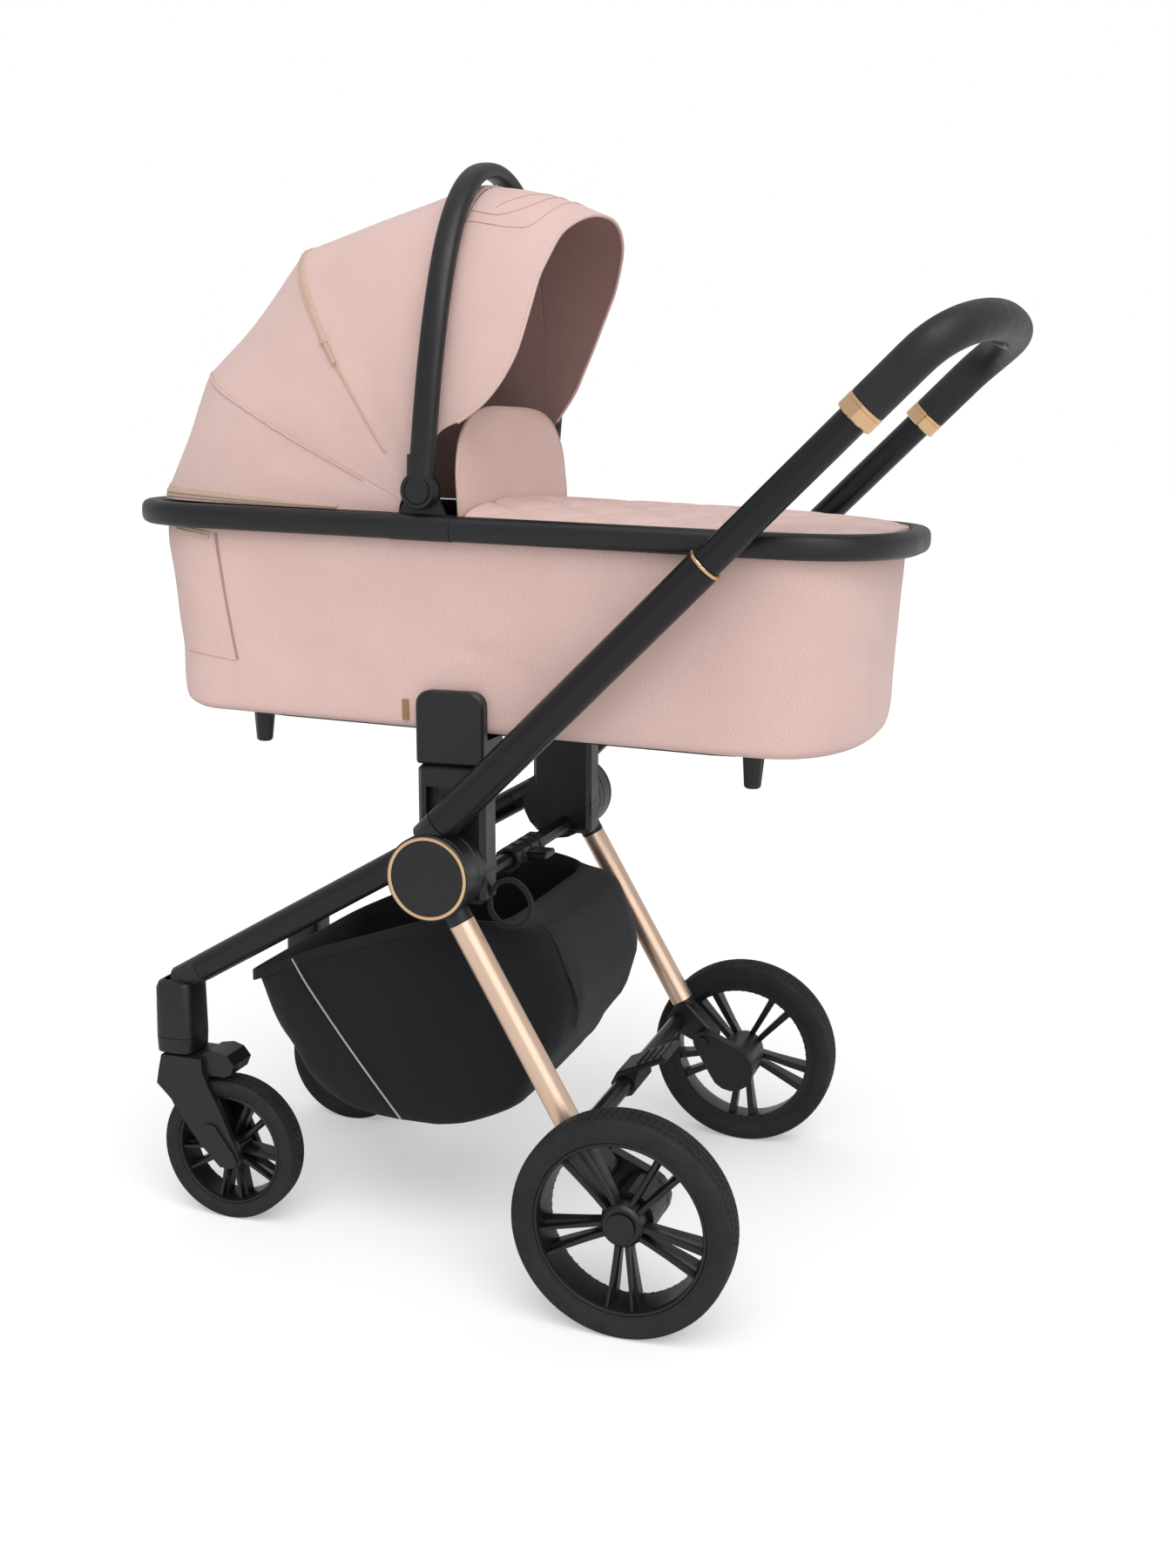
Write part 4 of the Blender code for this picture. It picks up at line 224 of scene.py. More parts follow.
def smooth_path(path, parts):
    """A smooth curve through the points of a path, each span cut into parts."""
    out = []
    for i in range(len(path) - 1):
        before = path[i - 1] if i else 2.0 * path[0] - path[1]
        after = path[i + 2] if i + 2 < len(path) else 2.0 * path[-1] - path[-2]
        here, there = path[i], path[i + 1]
        for j in range(parts):
            t = j / parts
            bend = 2.0 * before - 5.0 * here + 4.0 * there - after
            turn = 3.0 * here - before - 3.0 * there + after
            out.append(0.5 * (2.0 * here + (there - before) * t + bend * t**2 + turn * t**3))
    return out + [path[-1]]


def signed_power(value, power):
    """A power that keeps the sign, for rounded squares."""
    return math.copysign(abs(value) ** power, value)


def sweep_rows(path, reference, wide, thick, steps, power=2.0):
    """Loops of a rounded section along a path. wide lies along the reference direction."""
    rows = []
    for i, here in enumerate(path):
        along = (path[min(i + 1, len(path) - 1)] - path[max(i - 1, 0)]).normalized()
        side = (reference - reference.dot(along) * along).normalized()
        other = along.cross(side)
        row = []
        for j in range(steps):
            turn = 2.0 * math.pi * (j + 0.5) / steps
            u = signed_power(math.cos(turn), 2.0 / power)
            v = signed_power(math.sin(turn), 2.0 / power)
            row.append(here + 0.5 * wide * u * side + 0.5 * thick * v * other)
        rows.append(row)
    return rows


def sweep(path, reference, wide, thick, steps=12, power=2.0):
    """A closed bar of a rounded section along a path."""
    return capped(sweep_rows(path, reference, wide, thick, steps, power))


def soft_edges(obj, width, segments=3, angle=30.0):
    """A bevel on a CAD node's or a piece's sharp edges."""
    step = obj.modifiers.new("soft edges", "BEVEL")
    step.width = width
    step.segments = segments
    step.limit_method = "ANGLE"
    step.angle_limit = math.radians(angle)
    step.use_clamp_overlap = True
    step.harden_normals = True


# Materials


class Finish:
    """A Principled material, with short calls for the nodes that shape its colour and bump."""

    def __init__(self, name, rough, metal=0.0, **sockets):
        self.material = bpy.data.materials.new(name)
        self.material.use_nodes = True
        self.tree = self.material.node_tree
        self.main = self.tree.nodes["Principled BSDF"]
        self.main.inputs["Roughness"].default_value = rough
        self.main.inputs["Metallic"].default_value = metal
        for socket, value in sockets.items():
            self.main.inputs[socket.replace("_", " ")].default_value = value
        self.normal = None

    def node(self, kind, **inputs):
        """A node with its inputs set or linked. An underscore in an input's name stands for a space."""
        made = self.tree.nodes.new(kind)
        for socket, value in inputs.items():
            self.feed(made.inputs[socket.replace("_", " ")], value)
        return made

    def feed(self, socket, value):
        """Links a socket, or sets a plain value on it."""
        if isinstance(value, bpy.types.NodeSocket):
            self.tree.links.new(value, socket)
        else:
            socket.default_value = value

    def place(self, cloth, scale):
        """Texture coordinates, stretched by a scale for each axis: the cloth's own, or the object's."""
        source = self.tree.nodes.new("ShaderNodeTexCoord").outputs["UV" if cloth else "Object"]
        made = self.node("ShaderNodeMapping", Vector=source, Scale=scale)
        return made.outputs["Vector"]

    def noise(self, cloth, scale, detail=3.0, roughness=0.55):
        where = self.place(cloth, scale)
        made = self.node("ShaderNodeTexNoise", Vector=where, Scale=1.0, Detail=detail, Roughness=roughness)
        return made.outputs["Fac"]

    def math(self, operation, a, b=0.5):
        made = self.tree.nodes.new("ShaderNodeMath")
        made.operation = operation
        self.feed(made.inputs[0], a)
        self.feed(made.inputs[1], b)
        return made.outputs[0]

    def ramp(self, value, low, high, colours):
        """Two or three colours over a range of a value."""
        made = self.node("ShaderNodeValToRGB", Fac=value)
        made.color_ramp.elements[0].position = low
        made.color_ramp.elements[1].position = high
        for element, colour in zip(made.color_ramp.elements, (colours[0], colours[-1])):
            element.color = (*colour, 1.0)
        if len(colours) == 3:
            made.color_ramp.elements.new((low + high) / 2.0).color = (*colours[1], 1.0)
        return made.outputs["Color"]

    def colour(self, value):
        self.feed(self.main.inputs["Base Color"], value)

    def tint(self, colour, cloth, scale, strength):
        """A colour that varies a little from place to place."""
        shade = self.noise(cloth, scale)
        low = [c * (1.0 - strength) for c in colour]
        high = [min(1.0, c * (1.0 + strength)) for c in colour]
        self.colour(self.ramp(shade, 0.32, 0.68, (low, high)))

    def roughen(self, low, high, cloth, scale):
        """A roughness that wanders between two values."""
        shade = self.noise(cloth, scale)
        ends = {"From_Min": 0.3, "From_Max": 0.7, "To_Min": low, "To_Max": high}
        made = self.node("ShaderNodeMapRange", Value=shade, **ends)
        self.feed(self.main.inputs["Roughness"], made.outputs["Result"])

    def bump(self, height, depth, strength=1.0):
        """A bump on top of those made before it."""
        made = self.node("ShaderNodeBump", Height=height, Distance=depth, Strength=strength)
        if self.normal:
            self.feed(made.inputs["Normal"], self.normal)
        self.normal = made.outputs["Normal"]
        self.feed(self.main.inputs["Normal"], self.normal)

    def wave(self, cloth, period, direction="X"):
        """Ridges that repeat at a period in metres."""
        where = self.place(cloth, (1.0, 1.0, 1.0))
        made = self.node("ShaderNodeTexWave", Vector=where, Scale=math.pi / 10.0 / period)
        made.bands_direction = direction
        return made.outputs["Fac"]


def woven(name, colours, period, sheen=0.25, depth=0.00025, fleck=(700.0, 1500.0)):
    """Cloth whose threads cross, with lighter and darker flecks of yarn."""
    made = Finish(name, 0.92, Sheen_Weight=sheen, Sheen_Roughness=0.5, Specular_IOR_Level=0.2)
    flecks = made.noise(True, (fleck[0], fleck[1], 1.0), 2.0, 0.6)
    broad = made.noise(True, (9.0, 9.0, 1.0), 2.0)
    mixed = made.math("ADD", flecks, made.math("MULTIPLY", broad, 0.14))
    made.colour(made.ramp(mixed, 0.40, 0.76, colours))
    threads = made.math("MULTIPLY", made.wave(True, period, "X"), made.wave(True, period * 1.15, "Y"))
    made.bump(threads, depth, 0.8)
    made.bump(made.noise(True, (60.0, 60.0, 1.0)), 0.0006, 0.35)
    return made.material


def moulded(name, colour, rough, grain=900.0, depth=0.00006):
    """Satin plastic with a fine spark grain."""
    made = Finish(name, rough, Specular_IOR_Level=0.5)
    made.tint(colour, False, (14.0, 14.0, 14.0), 0.10)
    made.roughen(rough - 0.05, rough + 0.07, False, (25.0, 25.0, 25.0))
    made.bump(made.noise(False, (grain, grain, grain), 1.0), depth, 0.5)
    return made.material


def metal(name, colour, rough, metallic, brushed=0.00002):
    """Anodised or plated metal with faint drawing marks."""
    made = Finish(name, rough, metallic)
    made.tint(colour, False, (5.0, 5.0, 5.0), 0.04)
    made.roughen(max(0.02, rough - 0.04), rough + 0.05, False, (300.0, 300.0, 40.0))
    made.bump(made.noise(False, (900.0, 900.0, 60.0), 1.0), brushed, 0.3)
    return made.material


HOLE_PITCH = 0.0042


def leather(name, colour, holes):
    """Grained leather, with small punched holes or without."""
    made = Finish(name, 0.5, Specular_IOR_Level=0.45)
    made.tint(colour, False, (20.0, 20.0, 20.0), 0.12)
    made.roughen(0.44, 0.58, False, (60.0, 60.0, 60.0))
    cells = made.node("ShaderNodeTexVoronoi", Vector=made.place(False, (1.0, 1.0, 1.0)), Scale=520.0)
    made.bump(cells.outputs["Distance"], 0.00018, 0.6)
    if holes:
        dots = made.math("MULTIPLY", made.wave(True, HOLE_PITCH, "X"), made.wave(True, HOLE_PITCH, "Y"))
        made.bump(made.math("GREATER_THAN", dots, 0.62), -0.0008, 1.0)
    return made.material


def rubber(name, colour):
    """Matt rubber with a fine grain."""
    made = Finish(name, 0.72, Specular_IOR_Level=0.35)
    made.tint(colour, False, (30.0, 30.0, 30.0), 0.18)
    made.roughen(0.62, 0.82, False, (45.0, 45.0, 45.0))
    made.bump(made.noise(False, (500.0, 500.0, 500.0), 2.0), 0.00010, 0.5)
    return made.material


def ribbed(name, colour, period):
    """Webbing or zip tape: ribs across its length."""
    made = Finish(name, 0.85, Sheen_Weight=0.1, Specular_IOR_Level=0.25)
    made.tint(colour, True, (300.0, 900.0, 1.0), 0.2)
    made.bump(made.wave(True, period, "Y"), 0.0004, 0.9)
    return made.material


def finishes():
    """Every material by a short name. A cloth's three colours run from its dark to its light yarn."""
    pink = ((0.63, 0.415, 0.382), (0.775, 0.54, 0.493), (0.90, 0.705, 0.648))
    inside = ((0.36, 0.23, 0.21), (0.44, 0.29, 0.27), (0.52, 0.36, 0.34))
    liner = ((0.25, 0.225, 0.195), (0.33, 0.30, 0.265), (0.40, 0.37, 0.33))
    black = ((0.006, 0.0065, 0.008), (0.010, 0.011, 0.013), (0.017, 0.018, 0.021))
    hide = (0.0125, 0.0135, 0.0165)
    return {
        "plastic": moulded("satin black plastic", (0.0065, 0.0070, 0.0088), 0.40),
        "tube": metal("anodised black tube", (0.0075, 0.0082, 0.0110), 0.30, 0.25),
        "tyre": rubber("tyre rubber", (0.016, 0.0165, 0.019)),
        "rim": moulded("wheel plastic", (0.0060, 0.0064, 0.0078), 0.36),
        "rose": metal("satin rose gold tube", (0.85, 0.62, 0.475), 0.33, 0.85),
        "gold": metal("polished rose gold", (0.86, 0.57, 0.33), 0.11, 1.0, 0.0),
        "grip": leather("black leather grip", hide, False),
        "holes": leather("perforated black leather", hide, True),
        "key": moulded("grey key", (0.085, 0.088, 0.095), 0.5),
        "pink": woven("pink marl cloth", pink, 0.0011),
        "inside": woven("hood lining", inside, 0.0009, 0.1),
        "liner": woven("grey beige liner", liner, 0.0009, 0.15),
        "beige": ribbed("beige zip tape", (0.69, 0.51, 0.40), 0.0016),
        "zip": moulded("rose zip coil", (0.60, 0.43, 0.34), 0.4),
        "basket": woven("black basket cloth", black, 0.0012, 0.12),
        "webbing": ribbed("black webbing", (0.011, 0.012, 0.014), 0.0018),
        "reflective": moulded("reflective piping", (0.42, 0.43, 0.45), 0.35),
        "tan": leather("tan leather tab", (0.36, 0.20, 0.085), False),
    }


# Studio


# The photograph's frame in pixels, and the camera solved from it
PHOTO_WIDE, PHOTO_TALL = 1350.0, 1800.0
FOCAL_PIXELS = 1886.44
CENTRE_PIXEL = (715.03, 811.3)
CAMERA_AT = Vector((0.6731, -1.8238, 0.9377))
CAMERA_YAW = 0.3140
CAMERA_PITCH = 0.1584
CAMERA_ROLL = 0.0042
SENSOR = 36.0


def camera():
    """The photograph's view, with its shift."""
    lens = bpy.data.cameras.new("camera")
    lens.sensor_fit = "AUTO"
    lens.sensor_width = SENSOR
    lens.lens = FOCAL_PIXELS * SENSOR / PHOTO_TALL
    lens.shift_x = -(CENTRE_PIXEL[0] - PHOTO_WIDE / 2.0) / PHOTO_TALL
    lens.shift_y = (CENTRE_PIXEL[1] - PHOTO_TALL / 2.0) / PHOTO_TALL
    lens.clip_end = 60.0
    made = bpy.data.objects.new("camera", lens)
    bpy.context.scene.collection.objects.link(made)
    ahead = Vector((
        -math.sin(CAMERA_YAW) * math.cos(CAMERA_PITCH),
        math.cos(CAMERA_YAW) * math.cos(CAMERA_PITCH),
        -math.sin(CAMERA_PITCH),
    ))
    right = Vector((math.cos(CAMERA_YAW), math.sin(CAMERA_YAW), 0.0))
    above = right.cross(ahead)
    level = math.cos(CAMERA_ROLL) * right + math.sin(CAMERA_ROLL) * above
    upright = math.cos(CAMERA_ROLL) * above - math.sin(CAMERA_ROLL) * right
    turn = Matrix((level, upright, -ahead)).transposed()
    made.matrix_world = Matrix.Translation(MODEL @ CAMERA_AT) @ turn.to_4x4()
    bpy.context.scene.camera = made


def sun(name, strength, angle, aim):
    """A soft sun: its strength, its width in degrees and the way that it shines."""
    light = bpy.data.lights.new(name, "SUN")
    light.energy = strength
    light.angle = math.radians(angle)
    made = bpy.data.objects.new(name, light)
    bpy.context.scene.collection.objects.link(made)
    made.rotation_mode = "QUATERNION"
    made.rotation_quaternion = Vector(aim).to_track_quat("-Z", "Y")


WORLD_LIGHT = 0.55


def world():
    """An even white surround, brighter to the camera than as a light."""
    made = bpy.data.worlds.new("studio")
    made.use_nodes = True
    tree = made.node_tree
    background = tree.nodes["Background"]
    seen = tree.nodes.new("ShaderNodeLightPath")
    most = tree.nodes.new("ShaderNodeMath")
    most.operation = "MAXIMUM"
    tree.links.new(seen.outputs["Is Camera Ray"], most.inputs[0])
    tree.links.new(seen.outputs["Is Transmission Ray"], most.inputs[1])
    level = tree.nodes.new("ShaderNodeMapRange")
    level.inputs["To Min"].default_value = WORLD_LIGHT
    level.inputs["To Max"].default_value = 1.0
    tree.links.new(most.outputs[0], level.inputs["Value"])
    background.inputs["Color"].default_value = (1.0, 1.0, 1.0, 1.0)
    tree.links.new(level.outputs["Result"], background.inputs["Strength"])
    bpy.context.scene.world = made


FLOOR_HALF = 30.0
FLOOR_GLOW = 0.34


def floor():
    """A pale floor that stays white up to the backdrop and keeps the pram's shadow."""
    mesh = bpy.data.meshes.new("floor")
    h = FLOOR_HALF
    mesh.from_pydata([(-h, -h, 0.0), (h, -h, 0.0), (h, h, 0.0), (-h, h, 0.0)], [], [(0, 1, 2, 3)])
    made = bpy.data.objects.new("floor", mesh)
    bpy.context.scene.collection.objects.link(made)
    finish = Finish("pale floor", 0.9, Specular_IOR_Level=0.0)
    finish.tint((0.80, 0.80, 0.80), False, (0.8, 0.8, 0.8), 0.01)
    path = finish.tree.nodes.new("ShaderNodeLightPath")
    glow = finish.math("MULTIPLY", path.outputs["Is Camera Ray"], FLOOR_GLOW)
    finish.main.inputs["Emission Color"].default_value = (1.0, 1.0, 1.0, 1.0)
    finish.feed(finish.main.inputs["Emission Strength"], glow)
    mesh.materials.append(finish.material)


def studio():
    """The camera, the white surround, the floor and two soft suns."""
    bpy.context.scene.view_settings.view_transform = "Standard"
    camera()
    world()
    floor()
    sun("key", 1.25, 50.0, (-0.25, 0.55, -1.0))
    sun("side", 0.75, 60.0, (-0.75, 0.75, -0.45))


# Wheels


# Each wheel stands on the flats of its solid tyre, so its axle lies a little lower than its radius
REAR_RADIUS, REAR_FLATS = 0.123, 28
FRONT_RADIUS, FRONT_FLATS = 0.0883, 24
REAR = {
    "centre": (0.1715, 0.2683, REAR_RADIUS * math.cos(math.pi / REAR_FLATS)),
    "radius": REAR_RADIUS, "width": 0.0438, "depth": 0.0267, "wall": 0.0042,
    "hub": 0.0235, "hub_low": -0.0105, "hub_high": 0.0110, "bore": 0.0068, "blind": True,
}
FRONT = {
    "centre": (-0.3655, 0.1586, FRONT_RADIUS * math.cos(math.pi / FRONT_FLATS)),
    "radius": FRONT_RADIUS, "width": 0.036, "depth": 0.0195, "wall": 0.0038,
    "hub": 0.0165, "hub_low": -0.015, "hub_high": 0.015, "bore": 0.0048, "blind": False,
}
# The side wall from the bead outwards: (share of the tyre's depth, share of its half width)
WALL = (
    (0.0, 0.80), (0.0, 0.86), (0.05, 0.90), (0.12, 0.90), (0.16, 0.93), (0.40, 1.0), (0.66, 0.99),
    (0.86, 0.93), (0.945, 0.82),
)
# The tread from its shoulder to the middle: (share of the half width, share of the zigzag, 1 in a groove)
TREAD_EDGE = 0.72
TREAD = (
    (TREAD_EDGE, 0.0, 0), (0.58, 0.5, 0), (0.555, 0.7, 1), (0.47, 1.0, 1), (0.445, 1.0, 0),
    (0.20, 1.0, 0), (0.175, 1.0, 1), (0.09, 1.0, 1), (0.065, 1.0, 0),
)
TREAD_CROWN = 0.0008
TREAD_PITCH = 0.0088
GROOVE = 0.0011
ZIGZAG = 0.0022
# How far each step round the tyre follows the zigzag, and the step and band of its side notches
ZIGZAG_STEPS = (0.0, 0.6, 1.0, 0.0, -0.6, -1.0)
NOTCH_STEP = 2
NOTCH_BAND = (0.56, 0.80)


def tyre_section(wheel):
    """(radius, offset, share of zigzag, depth of groove) from one bead over the tread to the other."""
    radius, depth, half = wheel["radius"], wheel["depth"], wheel["width"] / 2.0
    root = radius - depth
    section = [(root + rise * depth, half * share, 0.0, 0.0) for rise, share in WALL]
    for share, sway, cut in TREAD:
        crown = radius - TREAD_CROWN * (share / TREAD_EDGE) ** 2.4
        section.append((crown, half * share, sway, GROOVE * cut))
    return section + [(r, -y, sway, cut) for r, y, sway, cut in reversed(section)]


def wheel_centre(wheel, side):
    """The middle of a wheel on its axle."""
    x, y, z = wheel["centre"]
    return Vector((x, side * y, z))


def tyre(label, side, wheel, kind, finish):
    """A tyre whose grooved tread zigzags round it, with notches in its shoulders."""
    centre = wheel_centre(wheel, side)
    blocks = round(2.0 * math.pi * wheel["radius"] / TREAD_PITCH)
    count = blocks * len(ZIGZAG_STEPS)
    section = tyre_section(wheel)
    rows = []
    for i in range(count):
        turn = 2.0 * math.pi * i / count
        out = Vector((math.cos(turn), 0.0, math.sin(turn)))
        step = i % len(ZIGZAG_STEPS)
        zigzag = ZIGZAG * ZIGZAG_STEPS[step]
        row = []
        for radius, offset, sway, cut in section:
            share = abs(offset) * 2.0 / wheel["width"]
            if step == NOTCH_STEP and NOTCH_BAND[0] < share < NOTCH_BAND[1]:
                cut = GROOVE
            reach = min(radius - cut, wheel["radius"])
            row.append(centre + reach * out + (offset + zigzag * sway) * ACROSS)
        rows.append(row)
    name = f"{kind}_tyre_{label}"
    return piece(name + "_tread", grid(rows, across=True, along=True), finish["tyre"],
                 f"{kind}_wheel_{label}", [name], sharp=28.0)


SPOKE_PAIRS = 5
FIRST_SPOKE = math.radians(-90.0)
# Half the room between a pair's two spokes, at the hub and at the rim
SPOKE_SPREAD = (0.0050, 0.0145)
# Half the thickness of a spoke's back and front, at the hub and how much it gains towards the rim
SPOKE_BACK = (0.0034, 0.0012)
SPOKE_FRONT = (0.0028, -0.0014)
SPOKE_SPANS = 6
# How far a spoke's back and front lie inside the hub's faces, and inside the rim's edges
SPOKE_HUB_ROOM = (0.002, 0.0045)
SPOKE_RIM_ROOM = (0.004, 0.0035)
CAP_SHARE = 0.66
RIM_SHARE = 0.43
RIM_RIBS = 60
RIM_RIB = 0.0022


def spoke(centre, turn, shift, side, wheel):
    """A web from the hub to the rim: wide at its back, thin where it meets the rim's outer lip."""
    along = Vector((math.cos(turn), 0.0, math.sin(turn)))
    around = Vector((-math.sin(turn), 0.0, math.cos(turn)))
    half = RIM_SHARE * wheel["width"]
    rim = wheel["radius"] - wheel["depth"] - wheel["wall"]
    root = CAP_SHARE * wheel["hub"]
    back, front = wheel["hub_low"] + SPOKE_HUB_ROOM[0], wheel["hub_high"] - SPOKE_HUB_ROOM[1]
    rows = []
    for i in range(SPOKE_SPANS + 1):
        t = i / SPOKE_SPANS
        reach = root + (rim - root) * t
        offset = shift * (SPOKE_SPREAD[0] + (SPOKE_SPREAD[1] - SPOKE_SPREAD[0]) * t**1.15)
        low = side * (back + (SPOKE_RIM_ROOM[0] - half - back) * t)
        high = side * (front + (half - SPOKE_RIM_ROOM[1] - front) * t**1.6)
        middle = low + (high - low) * (0.62 - 0.10 * t)
        back_half = SPOKE_BACK[0] + SPOKE_BACK[1] * t
        front_half = SPOKE_FRONT[0] + SPOKE_FRONT[1] * t
        waist = middle + 0.22 * (high - middle)
        outline = ((-back_half, low), (back_half, low), (back_half, middle), (front_half, waist))
        outline += ((front_half, high), (-front_half, high), (-front_half, waist), (-back_half, middle))
        here = centre + reach * along
        rows.append([here + (offset + a) * around + b * ACROSS for a, b in outline])
    return capped(rows)


def rim_barrel(wheel):
    """(radius, height) round the rim's section: its bed, its outer lip with a fine line, and its cone."""
    half = RIM_SHARE * wheel["width"]
    radius = wheel["radius"] - wheel["depth"] - 0.0001
    wall = wheel["wall"]
    inner = radius - wall
    barrel = [(inner - 0.9 * wall, -half), (radius, -half), (radius, half - 0.001), (radius - 0.001, half)]
    barrel += [(inner + 0.0006, half), (inner - 0.0002, half - 0.0012), (inner - 0.0012, half - 0.006)]
    return barrel + [(inner - 0.9 * wall, -0.55 * half)]


def wheel_hub(wheel, centre, axis):
    """The hub: a blind one with a raised cap at the rear, an open one on the front axles."""
    low, high, hub, bore = wheel["hub_low"], wheel["hub_high"], wheel["hub"], wheel["bore"]
    if not wheel["blind"]:
        profile = [(bore, low), (hub - 0.001, low), (hub, low + 0.001), (hub, high - 0.001)]
        return lathe(profile + [(hub - 0.001, high), (bore, high)], centre, axis, 48)
    cap = CAP_SHARE * hub
    profile = [(0.0, high - 0.0031), (bore, high - 0.0031), (bore, low), (hub, low)]
    profile += [(hub, high - 0.003), (hub - 0.003, high), (cap + 0.0012, high), (cap + 0.0010, high - 0.0008)]
    profile += [(cap, high - 0.0008), (cap, high + 0.0028), (cap - 0.0012, high + 0.0035)]
    return lathe(profile + [(0.0, high + 0.0036)], centre, axis, 56)


def back_ribs(wheel, side, centre):
    """The fine ribs on the back edge of a rear rim."""
    back = -side * (RIM_SHARE * wheel["width"] - 0.0005) * ACROSS
    radius = wheel["radius"] - wheel["depth"] - 0.0001
    inner = radius - 1.9 * wheel["wall"]
    parts = []
    for i in range(RIM_RIBS):
        turn = 2.0 * math.pi * i / RIM_RIBS
        out = Vector((math.cos(turn), 0.0, math.sin(turn)))
        ends = [centre + (inner - 0.0005) * out + back, centre + (radius - 0.001) * out + back]
        parts.append(sweep(ends, ACROSS, RIM_RIB, RIM_RIB, 6))
    return parts


def rim(label, side, wheel, kind, finish):
    """A dished rim: lip with a fine line, cone, hub with a cap, and five pairs of spokes."""
    centre = wheel_centre(wheel, side)
    axis = (0.0, side, 0.0)
    parts = [lathe(rim_barrel(wheel), centre, axis, 96), wheel_hub(wheel, centre, axis)]
    for i in range(SPOKE_PAIRS):
        turn = FIRST_SPOKE + 2.0 * math.pi * i / SPOKE_PAIRS
        parts += [spoke(centre, turn, shift, side, wheel) for shift in (-1.0, 1.0)]
    if wheel["blind"]:
        parts += back_ribs(wheel, side, centre)
    name = f"{kind}_rim_{label}"
    return piece(name + "_dished", parts, finish["rim"], f"{kind}_wheel_{label}", [name], sharp=32.0)


def wheels(finish):
    """The four wheels: a tyre and a rim each."""
    for label, side in SIDES:
        for wheel, kind in ((REAR, "rear"), (FRONT, "front")):
            tyre(label, side, wheel, kind, finish)
            rim(label, side, wheel, kind, finish)


# Hinge hubs, handle and legs


HINGE = Vector((-0.0622, 0.0, 0.4718))
HUB_RADIUS = 0.048
HUB_BEVEL = 0.0012
# How far out each layer of a hinge hub begins and ends
LAYERS = {"rear": (0.1979, 0.2134), "handle": (0.2138, 0.2385), "cover": (0.2389, 0.2459)}
BOLT_RADIUS = 0.006
BOLT_BORE = 0.0068
BOLT_INNER_Y = 0.166
HANDLE_ANGLE = math.radians(44.7)
HANDLE_DIR = Vector((math.cos(HANDLE_ANGLE), 0.0, math.sin(HANDLE_ANGLE)))
HANDLE_UP = Vector((-math.sin(HANDLE_ANGLE), 0.0, math.cos(HANDLE_ANGLE)))
HANDLE_FOOT = HINGE + 0.0336 * HANDLE_UP
HANDLE_Y = 0.2235
HANDLE_RADIUS = 0.0195
HANDLE_INNER = 0.0173
HANDLE_START = 0.0463
PLUG_RADIUS = 0.0168
BOW_RADIUS = 0.0165
BOW_INNER = 0.0147
BOW_INSIDE = 0.190
COLLAR_AT = 0.456
GRIP_RING_AT = 0.6826
GRIP_RING_LENGTH = 0.019
GRIP_RING_RADIUS = 0.0213
GRIP_RADIUS = 0.0208
GRIP_INNER = 0.0173
GRIP_SPLIT_Y = 0.012
CORNER_AT = 0.744
BAR_AT = 0.824
BAR_DROP = 0.0145
CORNER_POWER = 2.6


def handle_point(side, along):
    """A place on a handle arm's centre line, measured from beside the hinge."""
    point = HANDLE_FOOT + along * HANDLE_DIR
    point.y = side * HANDLE_Y
    return point


def hub_covers(finish):
    """The round cover on each hinge, bare, with its polished ring."""
    low, high = LAYERS["cover"]
    edge = high - 0.0004
    face = [(0.0, low), (HUB_RADIUS, low), (HUB_RADIUS, high - 0.0016), (HUB_RADIUS - HUB_BEVEL, edge)]
    face += [(0.0464, edge), (0.0462, high - 0.0020), (0.0424, high - 0.0020), (0.0422, edge)]
    face += [(0.0418, high), (0.0, high)]
    band = [(0.0425, high - 0.0019), (0.0461, high - 0.0019), (0.0461, high - 0.0001)]
    band += [(0.0452, high + 0.0004), (0.0433, high + 0.0004), (0.0425, high - 0.0001)]
    for label, side in SIDES:
        axis = (0.0, side, 0.0)
        bolt = cross_rod(HINGE.x, HINGE.z, side * BOLT_INNER_Y, side * (low + 0.0003), BOLT_RADIUS)
        piece("hinge_cover_" + label, [lathe(face, HINGE, axis, 96), bolt], finish["plastic"], "chassis",
              ["hinge_bolt_" + label])
        piece("hinge_ring_" + label, lathe(band, HINGE, axis, 96), finish["gold"], "chassis",
              ["hub_ring_" + label])


def disc(side, layer):
    """One layer of a hinge hub, bored for its bolt."""
    low, high = LAYERS[layer]
    profile = [(BOLT_BORE, low), (HUB_RADIUS - HUB_BEVEL, low), (HUB_RADIUS, low + HUB_BEVEL)]
    profile += [(HUB_RADIUS, high - HUB_BEVEL), (HUB_RADIUS - HUB_BEVEL, high), (BOLT_BORE, high)]
    return lathe(profile, HINGE, (0.0, side, 0.0), 96)


